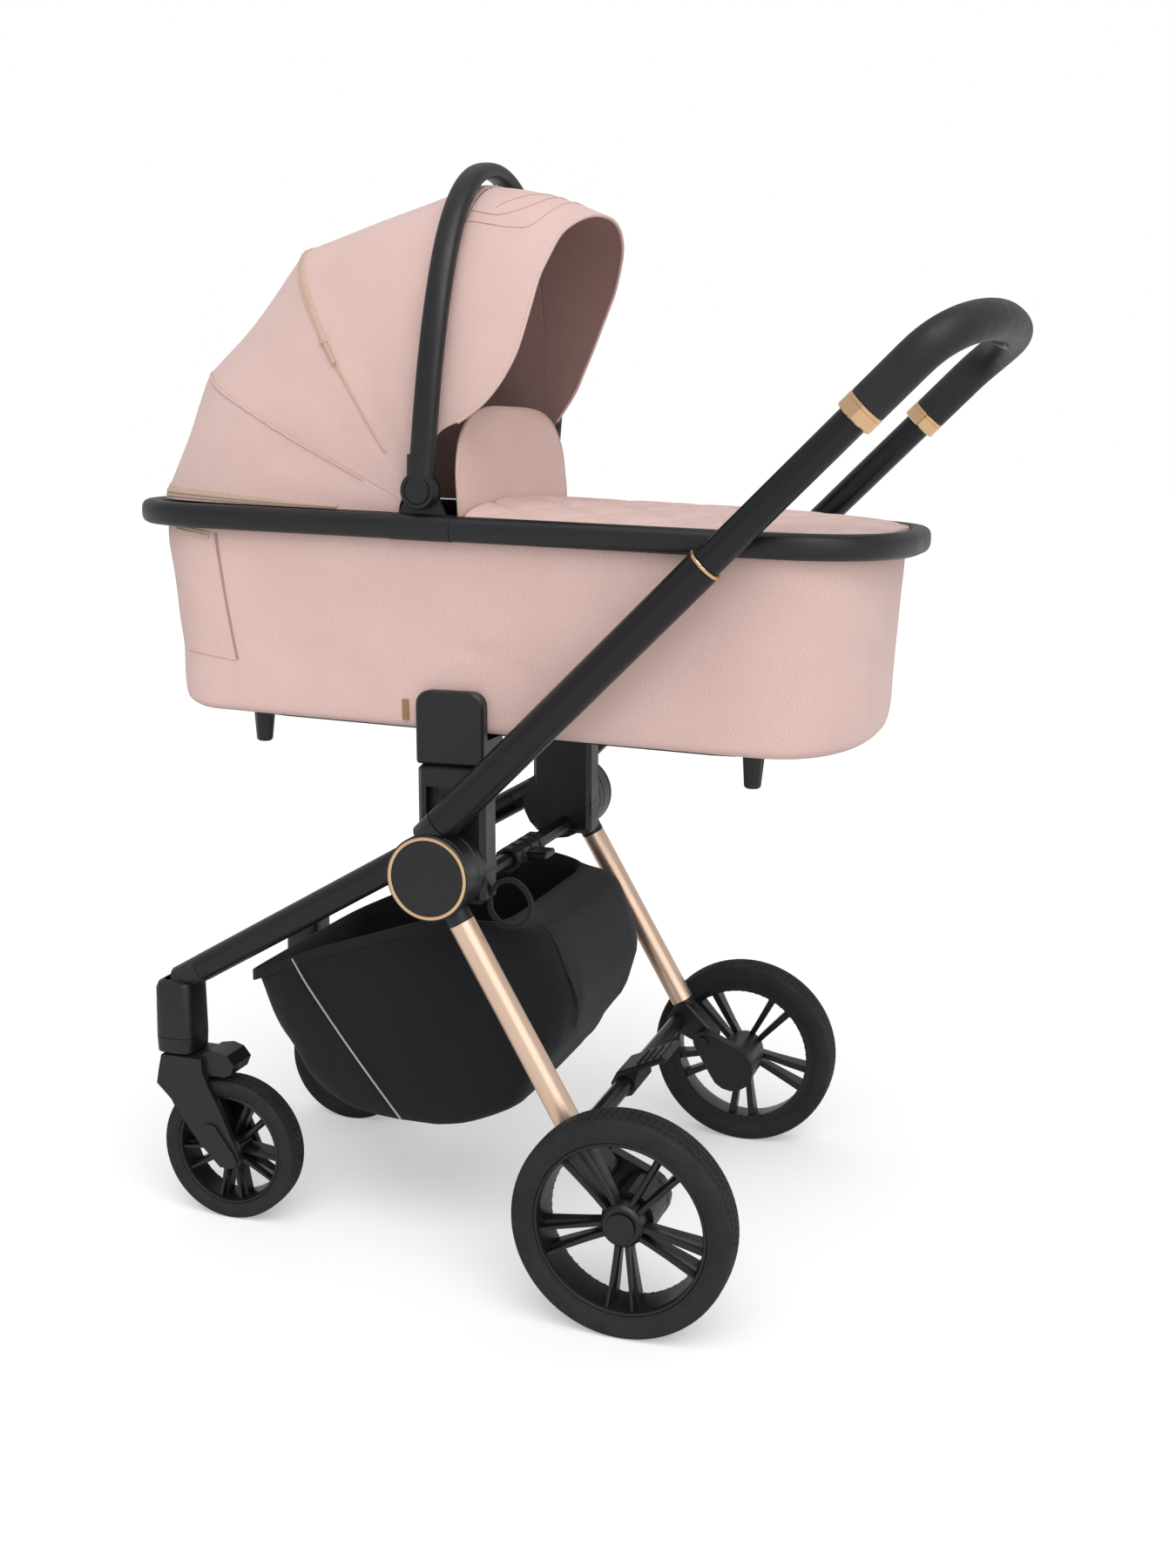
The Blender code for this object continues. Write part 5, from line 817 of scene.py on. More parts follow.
def handle_arms(finish):
    """Each arm: its hub layer with a web, a sleeve and a plug, its outer tube and its gold collar."""
    sleeve_section = [(PLUG_RADIUS, 0.0), (0.0192, 0.0), (HANDLE_RADIUS, 0.0004), (HANDLE_RADIUS, 0.0255)]
    sleeve_section += [(PLUG_RADIUS, 0.0255)]
    collar_section = [(HANDLE_INNER, 0.0), (0.0200, 0.0), (0.0207, 0.0006), (0.0207, 0.0030)]
    collar_section += [(0.0200, 0.0037), (HANDLE_INNER, 0.0037)]
    for label, side in SIDES:
        web = rod(handle_point(side, 0.004), handle_point(side, 0.042), 0.0093)
        sleeve = lathe(sleeve_section, handle_point(side, 0.020), HANDLE_DIR, 48)
        plug = rod(handle_point(side, 0.040), handle_point(side, 0.078), PLUG_RADIUS)
        piece("handle_hub_" + label, [disc(side, "handle"), web, sleeve, plug], finish["plastic"], "handle",
              ["handle_knuckle_" + label])
        ends = handle_point(side, HANDLE_START), handle_point(side, COLLAR_AT)
        piece("handle_arm_" + label, pipe(*ends, HANDLE_RADIUS, HANDLE_INNER), finish["tube"], "handle",
              ["handle_tube_" + label])
        collar = lathe(collar_section, handle_point(side, COLLAR_AT + 0.0003), HANDLE_DIR, 64)
        piece("handle_collar_" + label, collar, finish["gold"], "handle", ["telescope_collar_" + label])


def bow_path(start, turns=24):
    """The sliding bow's centre line, from the left arm over the bar to the right arm."""
    half = [(start, HANDLE_Y), ((start + CORNER_AT) / 2.0, HANDLE_Y), (CORNER_AT, HANDLE_Y)]
    reach = BAR_AT - CORNER_AT
    for i in range(1, turns + 1):
        turn = 0.5 * math.pi * (i / turns)
        along = CORNER_AT + reach * math.sin(turn) ** (2.0 / CORNER_POWER)
        wide = HANDLE_Y * math.cos(turn) ** (2.0 / CORNER_POWER) if i < turns else 0.0
        half.append((along, wide))
    path = []
    for side in (-1.0, 1.0):
        for along, wide in half if side < 0.0 else half[-2::-1]:
            bend = max(0.0, (along - CORNER_AT) / reach)
            point = HANDLE_FOOT + along * HANDLE_DIR - BAR_DROP * bend**2 * HANDLE_UP
            point.y = side * wide
            path.append(point)
    return path


def round_sleeve(path, outer, inner):
    """A hollow round bar along a path of the handle."""
    rows = sweep_rows(path, HANDLE_UP, 2.0 * outer, 2.0 * outer, 36)
    hollow = sweep_rows(path, HANDLE_UP, 2.0 * inner, 2.0 * inner, 36)
    return grid(rows + hollow[::-1], across=True, along=True)


def bow_and_grip(finish):
    """The sliding bow, its grip in a smooth and a perforated half, and a gold ring at each end."""
    bow = round_sleeve(bow_path(COLLAR_AT - BOW_INSIDE), BOW_RADIUS, BOW_INNER)
    piece("sliding_bow", bow, finish["tube"], "handle_upper", ["handle_bow"])
    path = bow_path(GRIP_RING_AT + 0.0003)
    left = [p for p in path if p.y <= GRIP_SPLIT_Y]
    right = [left[-1]] + [p for p in path if p.y >= GRIP_SPLIT_Y]
    piece("grip_smooth", round_sleeve(left, GRIP_RADIUS, GRIP_INNER), finish["grip"], "handle_upper")
    piece("grip_perforated", round_sleeve(right, GRIP_RADIUS, GRIP_INNER), finish["holes"], "handle_upper",
          ["handle_grip"])
    radius, length = GRIP_RING_RADIUS, GRIP_RING_LENGTH
    section = [(0.0170, 0.0), (radius - 0.0012, 0.0), (radius, 0.0012), (radius, length - 0.0050)]
    section += [(radius - 0.0005, length - 0.0045), (radius, length - 0.0040), (radius, length - 0.0012)]
    section += [(radius - 0.0012, length), (0.0170, length)]
    for label, side in SIDES:
        ring = lathe(section, handle_point(side, GRIP_RING_AT - length), HANDLE_DIR, 64)
        piece("grip_collar_" + label, ring, finish["gold"], "handle_upper", ["grip_ring_" + label])


LEG_ANGLE = math.radians(30.0)
LEG_OFFSET = 0.0293
LEG_TOP_Y = 0.1805
LEG_RADIUS = 0.0168
LEG_INNER = 0.0152
CASTER_X = -0.4325
CASTER_Y = 0.1586
REAR_LEG_ANGLE = math.radians(60.0)
REAR_LEG_DIR = Vector((math.cos(REAR_LEG_ANGLE), 0.0, -math.sin(REAR_LEG_ANGLE)))
REAR_LEG_Y = 0.2215
REAR_LEG_RADIUS = 0.0148
REAR_LEG_INNER = 0.0133


def leg_point(side, along):
    """A point on a front leg's centre line, measured from beside the hinge."""
    down = Vector((-math.cos(LEG_ANGLE), 0.0, -math.sin(LEG_ANGLE)))
    lift = Vector((-math.sin(LEG_ANGLE), 0.0, math.cos(LEG_ANGLE)))
    foot = HINGE + LEG_OFFSET * lift
    reach = (foot.x - CASTER_X) / math.cos(LEG_ANGLE)
    point = foot + along * down
    point.y = side * (LEG_TOP_Y + (CASTER_Y - LEG_TOP_Y) * along / reach)
    return point


def rear_leg_point(side, along, y=REAR_LEG_Y):
    """A place on a rear leg's centre line, measured from beside the hinge."""
    point = HINGE + along * REAR_LEG_DIR
    point.y = side * y
    return point


def legs(finish):
    """The front and rear leg tubes, and the rear layer of each hinge hub with its plug for the leg."""
    reach = (HINGE.x - LEG_OFFSET * math.sin(LEG_ANGLE) - CASTER_X) / math.cos(LEG_ANGLE)
    for label, side in SIDES:
        tube = pipe(leg_point(side, 0.0553), leg_point(side, reach - 0.0388), LEG_RADIUS, LEG_INNER)
        piece("front_leg_tube_" + label, tube, finish["tube"], "chassis", ["front_leg_" + label])
        ends = rear_leg_point(side, 0.0603), rear_leg_point(side, 0.315)
        piece("rear_leg_tube_" + label, pipe(*ends, REAR_LEG_RADIUS, REAR_LEG_INNER), finish["rose"],
              "rear_frame", ["rear_leg_" + label])
        sleeve = rod(rear_leg_point(side, 0.046), rear_leg_point(side, 0.0598), REAR_LEG_RADIUS)
        web = rod(rear_leg_point(side, 0.030, 0.2060), rear_leg_point(side, 0.058, 0.2180), 0.0072)
        plug = rod(rear_leg_point(side, 0.058), rear_leg_point(side, 0.092), 0.0129)
        piece("rear_hub_" + label, [disc(side, "rear"), sleeve, web, plug], finish["plastic"], "rear_frame",
              ["rear_knuckle_" + label])


# Carrycot


TUB_WALL = 0.0035
RIM_HEAD_X = -0.501
RIM_FOOT_X = 0.431
RIM_HALF = 0.198
RIM_END = 0.156
RIM_POWER = 2.6
RIM_WIDTH = 0.024
RIM_THICK = 0.028
TUB_DEPTH = 0.2374
PIVOT_X = -0.0887
PIVOT_Z = 0.0259
PIVOT_RADIUS = 0.0205
AROUND = 200
PLAN_STEPS = 60
RIM_STEPS = 20
RIM_ROUNDING = 2.8


def plan(side_inset, head_inset, foot_inset, height, count=AROUND):
    """An even loop of the carrycot's plan: straight sides and rounded ends, from the foot's middle."""
    half = RIM_HALF - side_inset
    rough = []
    for tip, inward, inset in ((RIM_FOOT_X, -1.0, foot_inset), (RIM_HEAD_X, 1.0, head_inset)):
        start = tip + inward * RIM_END
        reach = (RIM_END - inset) * -inward
        for i in range(PLAN_STEPS + 1):
            turn = -0.5 * math.pi + math.pi * i / PLAN_STEPS
            along = abs(math.cos(turn)) ** (2.0 / RIM_POWER) if 0 < i < PLAN_STEPS else 0.0
            wide = signed_power(math.sin(turn), 2.0 / RIM_POWER)
            rough.append(Vector((start + reach * along, -inward * half * wide, height)))
    half_way = PLAN_STEPS // 2
    rough = rough[half_way:] + rough[:half_way + 1]
    reach = lengths(rough)
    loop, at = [], 0
    for i in range(count):
        goal = reach[-1] * i / count
        while reach[at + 1] < goal:
            at += 1
        share = (goal - reach[at]) / (reach[at + 1] - reach[at])
        loop.append(rough[at].lerp(rough[at + 1], share))
    return loop


def pivot_boss(side):
    """The boss on the rim that carries the carry handle: a rounded plate and its pin."""
    turns = [math.radians(-20.0 + 10.0 * i) for i in range(23)]
    outline = [(PIVOT_X + PIVOT_RADIUS * math.cos(a), PIVOT_Z + PIVOT_RADIUS * math.sin(a)) for a in turns]
    outline += [(PIVOT_X - 0.0330, -0.012), (PIVOT_X + 0.0330, -0.012)]
    boss = slab(outline, side * 0.1826, side * 0.1868)
    return [boss, cross_rod(PIVOT_X, PIVOT_Z, side * 0.184, side * 0.192, 0.005)]


def carrycot_rim(finish):
    """The smooth black frame ring, its connector sleeves and the bosses for the carry handle."""
    rows = []
    for i in range(RIM_STEPS):
        turn = 2.0 * math.pi * i / RIM_STEPS
        inset = 0.5 * RIM_WIDTH * (1.0 + signed_power(math.cos(turn), 2.0 / RIM_ROUNDING))
        height = 0.5 * RIM_THICK * (signed_power(math.sin(turn), 2.0 / RIM_ROUNDING) - 1.0)
        rows.append(plan(inset, inset, inset, height))
    parts = [grid(rows, across=True, along=True)]
    for _, side in SIDES:
        path = [Vector((PIVOT_X + dx, side * (RIM_HALF - RIM_WIDTH / 2.0), -RIM_THICK / 2.0))
                for dx in (-0.036, -0.0355, 0.0355, 0.036)]
        parts.append(sweep(path, ACROSS, RIM_WIDTH + 0.0012, RIM_THICK + 0.0010, 24, 3.0))
        parts += pivot_boss(side)
    piece("carrycot_frame_ring", parts, finish["plastic"], "carrycot", ["carrycot_rim"], COT)


# The tub's walls: height, and how far the side, the head end and the foot end lie inside the rim's outline
TUB_ROWS = (
    (-0.0220, 0.0158, 0.0365, 0.0275), (-0.0500, 0.0158, 0.0370, 0.0285), (-0.0800, 0.0158, 0.0435, 0.0305),
    (-0.1100, 0.0158, 0.0495, 0.0320), (-0.1400, 0.0158, 0.0550, 0.0333), (-0.1700, 0.0158, 0.0612, 0.0338),
    (-0.2050, 0.0158, 0.0642, 0.0347), (-0.2254, 0.0161, 0.0690, 0.0387), (-0.2325, 0.0172, 0.0800, 0.0450),
    (-0.2360, 0.0200, 0.0970, 0.0515), (-TUB_DEPTH, 0.0260, 0.1150, 0.0595),
)


def tub_height_rows():
    """(height, side inset, head inset, foot inset) from the hem under the rim to the bottom."""
    return [tuple(p) for p in smooth_path([Vector(row) for row in TUB_ROWS], 4)]


def tub_side(x, height, lift):
    """A place on the near side wall of the tub, in the carrycot's frame."""
    rows = tub_height_rows()
    row = min(rows, key=lambda r: abs(r[0] - height))
    share = max(0.0, (RIM_HEAD_X + RIM_END - x) / (RIM_END - row[2]))
    half = (RIM_HALF - row[1]) * (1.0 - min(0.999, share) ** RIM_POWER) ** (1.0 / RIM_POWER)
    return Vector((x, -half - lift, height))


def tub_line(name, places, wide, thick, kind, finish):
    """A trim on the near side of the tub, through (x, height above the floor) places."""
    to_cot = COT.inverted() @ MODEL
    path = smooth_path([to_cot @ Vector((x, 0.0, z)) for x, z in places], 8)
    line = [tub_side(p.x, p.z, thick / 3.0) for p in path]
    away = (line[-1] - line[0]).cross(ACROSS)
    return piece(name, sweep(line, away, wide, thick, 10, 3.0), finish[kind], "carrycot", (), COT)


# Trims on the tub's near side: name, (x, height) places, width, thickness and material
TUB_TRIMS = (
    ("pocket_zip", ((-0.4055, 0.8397), (-0.3810, 0.8365), (-0.3566, 0.8328)), 0.0085, 0.0020, "beige"),
    ("pocket_zip_coil", ((-0.4050, 0.8396), (-0.3810, 0.8364), (-0.3570, 0.8328)), 0.0022, 0.0040, "zip"),
    # The pocket slit is a strip of the darker lining cloth laid on the surface: the lining's own colour,
    # darkened in effect to paint the shade inside the opening
    ("pocket_slit", ((-0.3485, 0.8359), (-0.3368, 0.7588), (-0.3246, 0.6921)), 0.0030, 0.0016, "inside"),
    ("pocket_seam", ((-0.3943, 0.7013), (-0.3600, 0.6967), (-0.3246, 0.6921)), 0.0026, 0.0014, "pink"),
    ("side_tab", ((-0.1137, 0.6570), (-0.1137, 0.6455), (-0.1137, 0.6340)), 0.0082, 0.0026, "tan"),
)


def crease(p, seed, size, depth):
    """A gentle, repeatable dent at a place."""
    return depth * noise.noise(Vector((p.x * size, p.y * size, p.z * size * 1.7 + seed)))


def carrycot_tub(finish):
    """The cloth over the tub, with a liner, a floor, and soft creases where the adapter pulls it."""
    outer, inner = [], []
    for height, inset, head, foot in tub_height_rows():
        row = plan(inset, head, foot, height)
        middle = Vector((-0.035, 0.0, height))
        shaped = []
        for p in row:
            away = (p - middle).normalized()
            pulled = math.exp(-((p.x + 0.055) / 0.085) ** 2 - ((height + 0.165) / 0.05) ** 2)
            dent = crease(p, 3.0, 9.0, 0.0016) + crease(p, 8.0, 34.0, 0.0030) * pulled
            shaped.append(p + dent * away - abs(dent) * 0.4 * away)
        outer.append(shaped)
        floor = max(height, -TUB_DEPTH + TUB_WALL)
        inner.append(plan(inset + TUB_WALL, head + TUB_WALL, foot + TUB_WALL, floor))
    for share in (0.6, 0.25, 0.03):
        for rows in (outer, inner):
            last = rows[len(tub_height_rows()) - 1]
            middle = sum(last, Vector()) / len(last)
            rows.append([middle + (p - middle) * share for p in last])
    made = piece("tub_cover", shell(outer, inner, True), [finish["pink"], finish["liner"]], "carrycot",
                 ["carrycot_tub"], COT)


def plan_half(x):
    """Half width between the rim's inner walls at a place along the carrycot."""
    tip = RIM_FOOT_X - RIM_WIDTH
    start = RIM_FOOT_X - RIM_END
    half = RIM_HALF - RIM_WIDTH
    if x <= start:
        return half
    share = min(0.9999, (x - start) / (tip - start))
    return half * (1.0 - share**RIM_POWER) ** (1.0 / RIM_POWER)


APRON_START_X = -0.045
APRON_CELL = 0.090
APRON_CROWN = 0.016
APRON_GRID = (150, 116)
APRON_LOW = -0.0065


def quilt(x, y):
    """How far a place on the apron stands from its sewn diamonds, 0 on a seam and 1 between them."""
    a = (x + y) / APRON_CELL
    b = (x - y) / APRON_CELL
    near = min(abs(a - round(a)), abs(b - round(b))) * 2.0
    return min(1.0, near)


def apron(finish):
    """The crowned foot cover, sewn into diamonds that puff between their seams."""
    end = RIM_FOOT_X - RIM_WIDTH - 0.0045
    columns, rows = APRON_GRID
    top, low = [], []
    for i in range(columns + 1):
        share = i / columns
        x = APRON_START_X + (end - APRON_START_X) * share
        half = plan_half(x + 0.0012) - 0.0012
        line, under = [], []
        for j in range(rows + 1):
            v = 2.0 * j / rows - 1.0
            y = half * v
            edge = (1.0 - abs(v) ** 3.0) * (1.0 - share**6.0)
            crown = APRON_CROWN * edge * (0.72 + 0.28 * (1.0 - share))
            puff = quilt(x - APRON_START_X, y)
            soft = math.sin(0.5 * math.pi * min(1.0, puff * 1.6)) ** 0.7
            ease = min(1.0, 6.0 * edge)
            pucker = 0.0010 * noise.noise(Vector((x * 40.0, y * 40.0, 2.0))) * (1.0 - soft)
            crown += (0.0046 * soft - 0.0028 + pucker) * ease
            line.append(Vector((x, y, -0.0010 + crown)))
            under.append(Vector((x, y, APRON_LOW)))
        top.append(line)
        low.append(under)
    made = piece("apron_quilt", shell(top, low), [finish["pink"], finish["liner"]], "carrycot",
                 ["apron"], COT)


FLAP_HALF = 0.170
FLAP_HEIGHT = 0.1195
FLAP_POWER = 3.5
FLAP_X = -0.0520
FLAP_BELLY = 0.010
FLAP_THICK = 0.006


def flap_outline(level):
    """Half width of the raised flap at a share of its height."""
    return FLAP_HALF * max(0.0, 1.0 - level**FLAP_POWER) ** (1.0 / FLAP_POWER)


def wind_flap(finish):
    """The raised flap: a thin cupped pad with beige piping round its edge."""
    rows, columns = 30, 48
    front, back, edge = [], [], []
    for k in range(rows + 1):
        level = math.sin(0.5 * math.pi * k / rows)
        half = max(0.012, flap_outline(level))
        height = -0.0010 + FLAP_HEIGHT * level * (1.0 if k < rows else 0.998)
        ahead, behind = [], []
        for j in range(columns + 1):
            v = 2.0 * j / columns - 1.0
            belly = FLAP_BELLY * (1.0 - v**2)
            puff = 0.5 * FLAP_THICK * (0.3 + 0.7 * (1.0 - abs(v) ** 5.0) * (1.0 - level**8.0))
            x = FLAP_X + belly * (1.0 - level) * 0.4 - FLAP_BELLY * level
            x += 0.0006 * noise.noise(Vector((v * 4.0, level * 4.0, 5.0)))
            ahead.append(Vector((x + puff, half * v, height)))
            behind.append(Vector((x - puff, half * v, height)))
        front.append(ahead)
        back.append(behind)
        edge.append((front[-1][0] + back[-1][0]) / 2.0)
    made = piece("wind_flap_pad", shell(front, back), [finish["pink"], finish["pink"]], "carrycot",
                 ["wind_flap"], COT)
    path = edge + [Vector((p.x, -p.y, p.z)) for p in reversed(edge[:-1])]
    piece("wind_flap_piping", sweep(path, Vector((1.0, 0.0, 0.0)), 0.0042, 0.0036, 10), finish["beige"],
          "carrycot", (), COT)


# The mattress's side: (height above its base, how far it draws in)
MATTRESS_SIDE = (
    (0.0, 0.030), (0.0015, 0.014), (0.006, 0.006), (0.014, 0.003), (0.024, 0.003), (0.032, 0.009),
    (0.038, 0.022), (0.0412, 0.045), (0.0420, 0.080), (0.0424, 0.120),
)
MATTRESS_TOP = 0.0426
MATTRESS_INSETS = (0.0408, 0.0740, 0.0580)
CHANNEL_DEPTH = 0.0035
CHANNEL_EVERY = 0.110


def channel(x):
    """Depth of the mattress's sewn cross channels at a place along it."""
    return CHANNEL_DEPTH * (0.5 + 0.5 * math.cos(2.0 * math.pi * (x + 0.035) / CHANNEL_EVERY)) ** 14


def mattress(finish):
    """A crowned pad whose sides draw in between its cross channels."""
    low = -TUB_DEPTH + 0.0055
    rows = []
    for height, inset in MATTRESS_SIDE:
        row = plan(*[inset + drawn_in for drawn_in in MATTRESS_INSETS], low + height)
        for p in row:
            p.z -= channel(p.x) * min(1.0, height / 0.034)
        rows.append(row)
    last = rows[-1]
    middle = sum(last, Vector()) / len(last)
    for share in (0.5, 0.05):
        row = [middle + (p - middle) * share for p in last]
        for p in row:
            p.z = low + MATTRESS_TOP - channel(p.x)
        rows.append(row)
    made = piece("mattress_pad", capped(rows), finish["liner"], "carrycot", ["mattress"], COT)


# Carry handle and hood


ARCH_HALF = 0.192
ARCH_SPRING = 0.091
ARCH_TOP = 0.3855
ARCH_WIDE = 0.028
ARCH_THICK = 0.018
ALONG = Vector((1.0, 0.0, 0.0))


def arch_path(turns=32):
    """The carry handle's centre line, from the left pivot over the top to the right one."""
    rise = ARCH_TOP - ARCH_SPRING
    half = [(ARCH_HALF, z) for z in (PIVOT_Z + 0.002, PIVOT_Z + 0.030, ARCH_SPRING - 0.015)]
    for i in range(1, turns + 1):
        turn = 0.5 * math.pi * i / turns
        half.append((ARCH_HALF * math.cos(turn) if i < turns else 0.0, ARCH_SPRING + rise * math.sin(turn)))
    path = []
    for side in (-1.0, 1.0):
        for y, z in half if side < 0.0 else half[-2::-1]:
            share = (z - PIVOT_Z) / (ARCH_TOP - PIVOT_Z)
            x = PIVOT_X + 0.009 * math.sin(math.pi * min(1.0, share)) - 0.002 * share
            path.append(Vector((x, side * y, z)))
    return path


def carry_arch(finish):
    """The bent carry handle with a round pivot housing and a thicker root on each side, and its buttons."""
    parts = [sweep(arch_path(), ALONG, ARCH_WIDE, ARCH_THICK, 28, 2.6)]
    housing = [(0.0058, 0.1872), (0.0195, 0.1872), (PIVOT_RADIUS, 0.1880), (PIVOT_RADIUS, 0.1985)]
    housing += [(0.0190, 0.2005), (0.0151, 0.2005), (0.0149, 0.1990), (0.0149, 0.1935), (0.0058, 0.1935)]
    cap = [(0.0, 0.1960), (0.0145, 0.1960), (0.0145, 0.2001), (0.0138, 0.2013), (0.0, 0.2015)]
    pivot = (PIVOT_X, 0.0, PIVOT_Z)
    for _, side in SIDES:
        parts.append(lathe(housing, pivot, (0.0, side, 0.0), 64))
        root = [Vector((PIVOT_X, side * ARCH_HALF, PIVOT_Z + z)) for z in (0.012, 0.020, 0.038, 0.0385)]
        parts.append(sweep(root, ALONG, ARCH_WIDE + 0.0012, ARCH_THICK + 0.0010, 28, 2.8))
    piece("carry_arch", parts, finish["plastic"], "carry_handle", ["carry_handle"], COT)
    for label, side in SIDES:
        button = "pivot_button_" + label
        piece("pivot_cap_" + label, lathe(cap, pivot, (0.0, side, 0.0), 56), finish["plastic"], button,
              [button], COT)


HOOD_HALF = 0.182
HOOD_FOOT = 0.0008
HOOD_BASE = 0.030
HOOD_FRONT = 91.6
VISOR_FROM = 92.0
SEAM_AT = 24.6
ZIP_AT = 53.6
# Each panel of the hood: first and last angle, reach at both, and how far the cloth sags between them
PANELS = (
    (0.0, SEAM_AT, 0.386, 0.3665, 0.0100),
    (SEAM_AT, ZIP_AT, 0.3665, 0.368, 0.0162),
    (ZIP_AT, 90.0, 0.368, 0.3665, 0.0143),
    (90.0, 121.0, 0.3665, 0.3604, 0.0),
)


def hood_reach(degrees):
    """Reach of the hood from its fan centre, at an angle up from the head end."""
    for low, high, start, end, sag in PANELS:
        if degrees <= high:
            share = (degrees - low) / (high - low)
            return start + (end - start) * share - sag * math.sin(math.pi * share)
    return PANELS[-1][3]


def hood_power(degrees):
    """How square a rib is: squarer near the rim at the head end, rounder higher up."""
    return 2.3 + 1.5 * max(0.0, 1.0 - degrees / 62.0) ** 1.5


def hood_point(degrees, t, lift=0.0):
    """A place on the hood: an angle up from the head end, and t from 0 at the left to pi at the right."""
    turn = math.radians(degrees)
    power = hood_power(degrees)
    reach = hood_reach(degrees) + lift
    half = HOOD_HALF + lift
    y = -half * signed_power(math.cos(t), 2.0 / power)
    r = reach * abs(math.sin(t)) ** (2.0 / power)
    return Vector((PIVOT_X - r * math.cos(turn), y, HOOD_FOOT + r * math.sin(turn)))


def first_turn(degrees, base, lift=0.0):
    """The t at which a rib of the hood leaves its base."""
    reach = hood_reach(degrees) + lift
    return math.asin(min(1.0, (base / reach) ** (hood_power(degrees) / 2.0)))


def rib_turns(first, count):
    """Even steps of t along a rib, from its near base to its far base."""
    return [first + (math.pi - 2.0 * first) * i / (count - 1) for i in range(count)]


def hood_rib(degrees, base, lift, count):
    """A row of places over the hood at one angle."""
    return [hood_point(degrees, t, lift) for t in rib_turns(first_turn(degrees, base, lift), count)]


HOOD_RIBS = 92
HOOD_COUNT = 97
HOOD_CLOTH = 0.0018
SEAM_DEPTH = 0.0010
PUCKERS = 95.0
PUCKER_DEPTH = 0.0006
PUCKER_SPREAD = 2.2
CLOTH_SWELL = 0.0022


def hood_puff(degrees, t):
    """The cloth swells softly, and puckers beside its seams."""
    beside = min(abs(degrees - at) for at in (0.0, SEAM_AT, ZIP_AT, HOOD_FRONT))
    ripple = math.sin(t * PUCKERS + 3.0 * math.sin(t * 7.0))
    pucker = PUCKER_DEPTH * ripple * math.exp(-beside / PUCKER_SPREAD)
    swell = CLOTH_SWELL * noise.noise(Vector((degrees * 0.09, t * 3.0, 1.5)))
    return (pucker + swell) * math.sin(t) ** 0.5


def hood_canopy(finish):
    """The hood's cloth and lining, from the rim at the head end to the carry handle."""
    outer, inner = [], []
    for i in range(HOOD_RIBS + 1):
        degrees = HOOD_FRONT * i / HOOD_RIBS
        out = hood_rib(degrees, HOOD_BASE, 0.0, HOOD_COUNT)
        lining = hood_rib(degrees, HOOD_BASE, -HOOD_CLOTH, HOOD_COUNT)
        seam = -SEAM_DEPTH * math.exp(-((degrees - SEAM_AT) / 0.5) ** 2)
        shaped, under = [], []
        for j, (p, q) in enumerate(zip(out, lining)):
            t = math.pi * j / (HOOD_COUNT - 1)
            away = (p - Vector((PIVOT_X, 0.0, 0.06))).normalized()
            move = (hood_puff(degrees, t) + seam) * away
            shaped.append(p + move)
            under.append(q + move)
        if i == 0:
            for p in shaped + under:
                p.z = HOOD_FOOT
        outer.append(shaped)
        inner.append(under)
    return piece("hood_cloth", shell(outer, inner), [finish["pink"], finish["inside"]], None,
                 ["hood_canopy"], COT)


def over_the_fold(*made):
    """Pieces of the hood, with their placing baked into their points."""
    for part in made:
        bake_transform(part)


STRIP_COUNT = 121
STRIP_THICK = 0.0012
STRIP_ACROSS = (-0.5, -0.25, 0.25, 0.5)


def hood_strip(name, degrees, wide, lift, material, start=0.05):
    """A flat band sewn on the hood along one rib, wide in degrees."""
    rows, low = [], []
    for t in rib_turns(first_turn(degrees, HOOD_BASE + start), STRIP_COUNT):
        puff = hood_puff(degrees, t) * UP
        row = [hood_point(degrees + wide * k, t, lift) + puff for k in STRIP_ACROSS]
        rows.append(row)
        low.append([p - STRIP_THICK * (p - Vector((PIVOT_X, 0.0, 0.05))).normalized() for p in row])
    return piece(name, shell(rows, low), [material, material], None, (), COT)


def zip_puller(name, degrees, t, finish):
    """A slider with its hanging tab, on the near side of the hood."""
    at = hood_point(degrees, t, 0.0030)
    down = (hood_point(degrees, t - 0.03, 0.0030) - at).normalized()
    beside = ACROSS.cross(down)
    slider = sweep([at - 0.005 * down, at + 0.005 * down], beside, 0.0075, 0.0034, 16, 3.0)
    hang = [at + drop * down for drop in (0.004, 0.012, 0.034)]
    tab = sweep(hang, beside, 0.0048, 0.0016, 12, 3.0)
    return piece(name, [slider, tab], finish["zip"], None, (), COT)


# A zip's tape and its coil: how far they lie off the cloth, and the coil's width in degrees
ZIP_TAPE_LIFT, ZIP_COIL_LIFT = 0.0010, 0.0019
ZIP_COIL_WIDE = 0.40
RIM_ZIP_AT = 1.6
RIM_ZIP_START = 0.075


def hood_trim(finish):
    """The zip across the hood, with its coil and slider, the seam's welt and the zip along the rim."""
    tape = hood_strip("hood_zip_tape", ZIP_AT, 1.7, ZIP_TAPE_LIFT, finish["beige"])
    coil = hood_strip("hood_zip_coil", ZIP_AT, ZIP_COIL_WIDE, ZIP_COIL_LIFT, finish["zip"])
    welt = hood_strip("hood_seam_welt", SEAM_AT, 0.35, 0.0011, finish["pink"])
    puller = zip_puller("hood_zip_puller", ZIP_AT, 0.60, finish)
    over_the_fold(tape, coil, welt, puller)
    tape = hood_strip("rim_zip_tape", RIM_ZIP_AT, 1.9, ZIP_TAPE_LIFT, finish["beige"], RIM_ZIP_START)
    coil = hood_strip("rim_zip_coil", RIM_ZIP_AT, ZIP_COIL_WIDE, ZIP_COIL_LIFT, finish["zip"], RIM_ZIP_START)
    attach(tape, "carrycot")
    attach(coil, "carrycot")


VISOR_BASE = (0.062, 0.105)
VISOR_STEPS = 28
VISOR_CLOTH = 0.0022
VISOR_REACH = 20.0


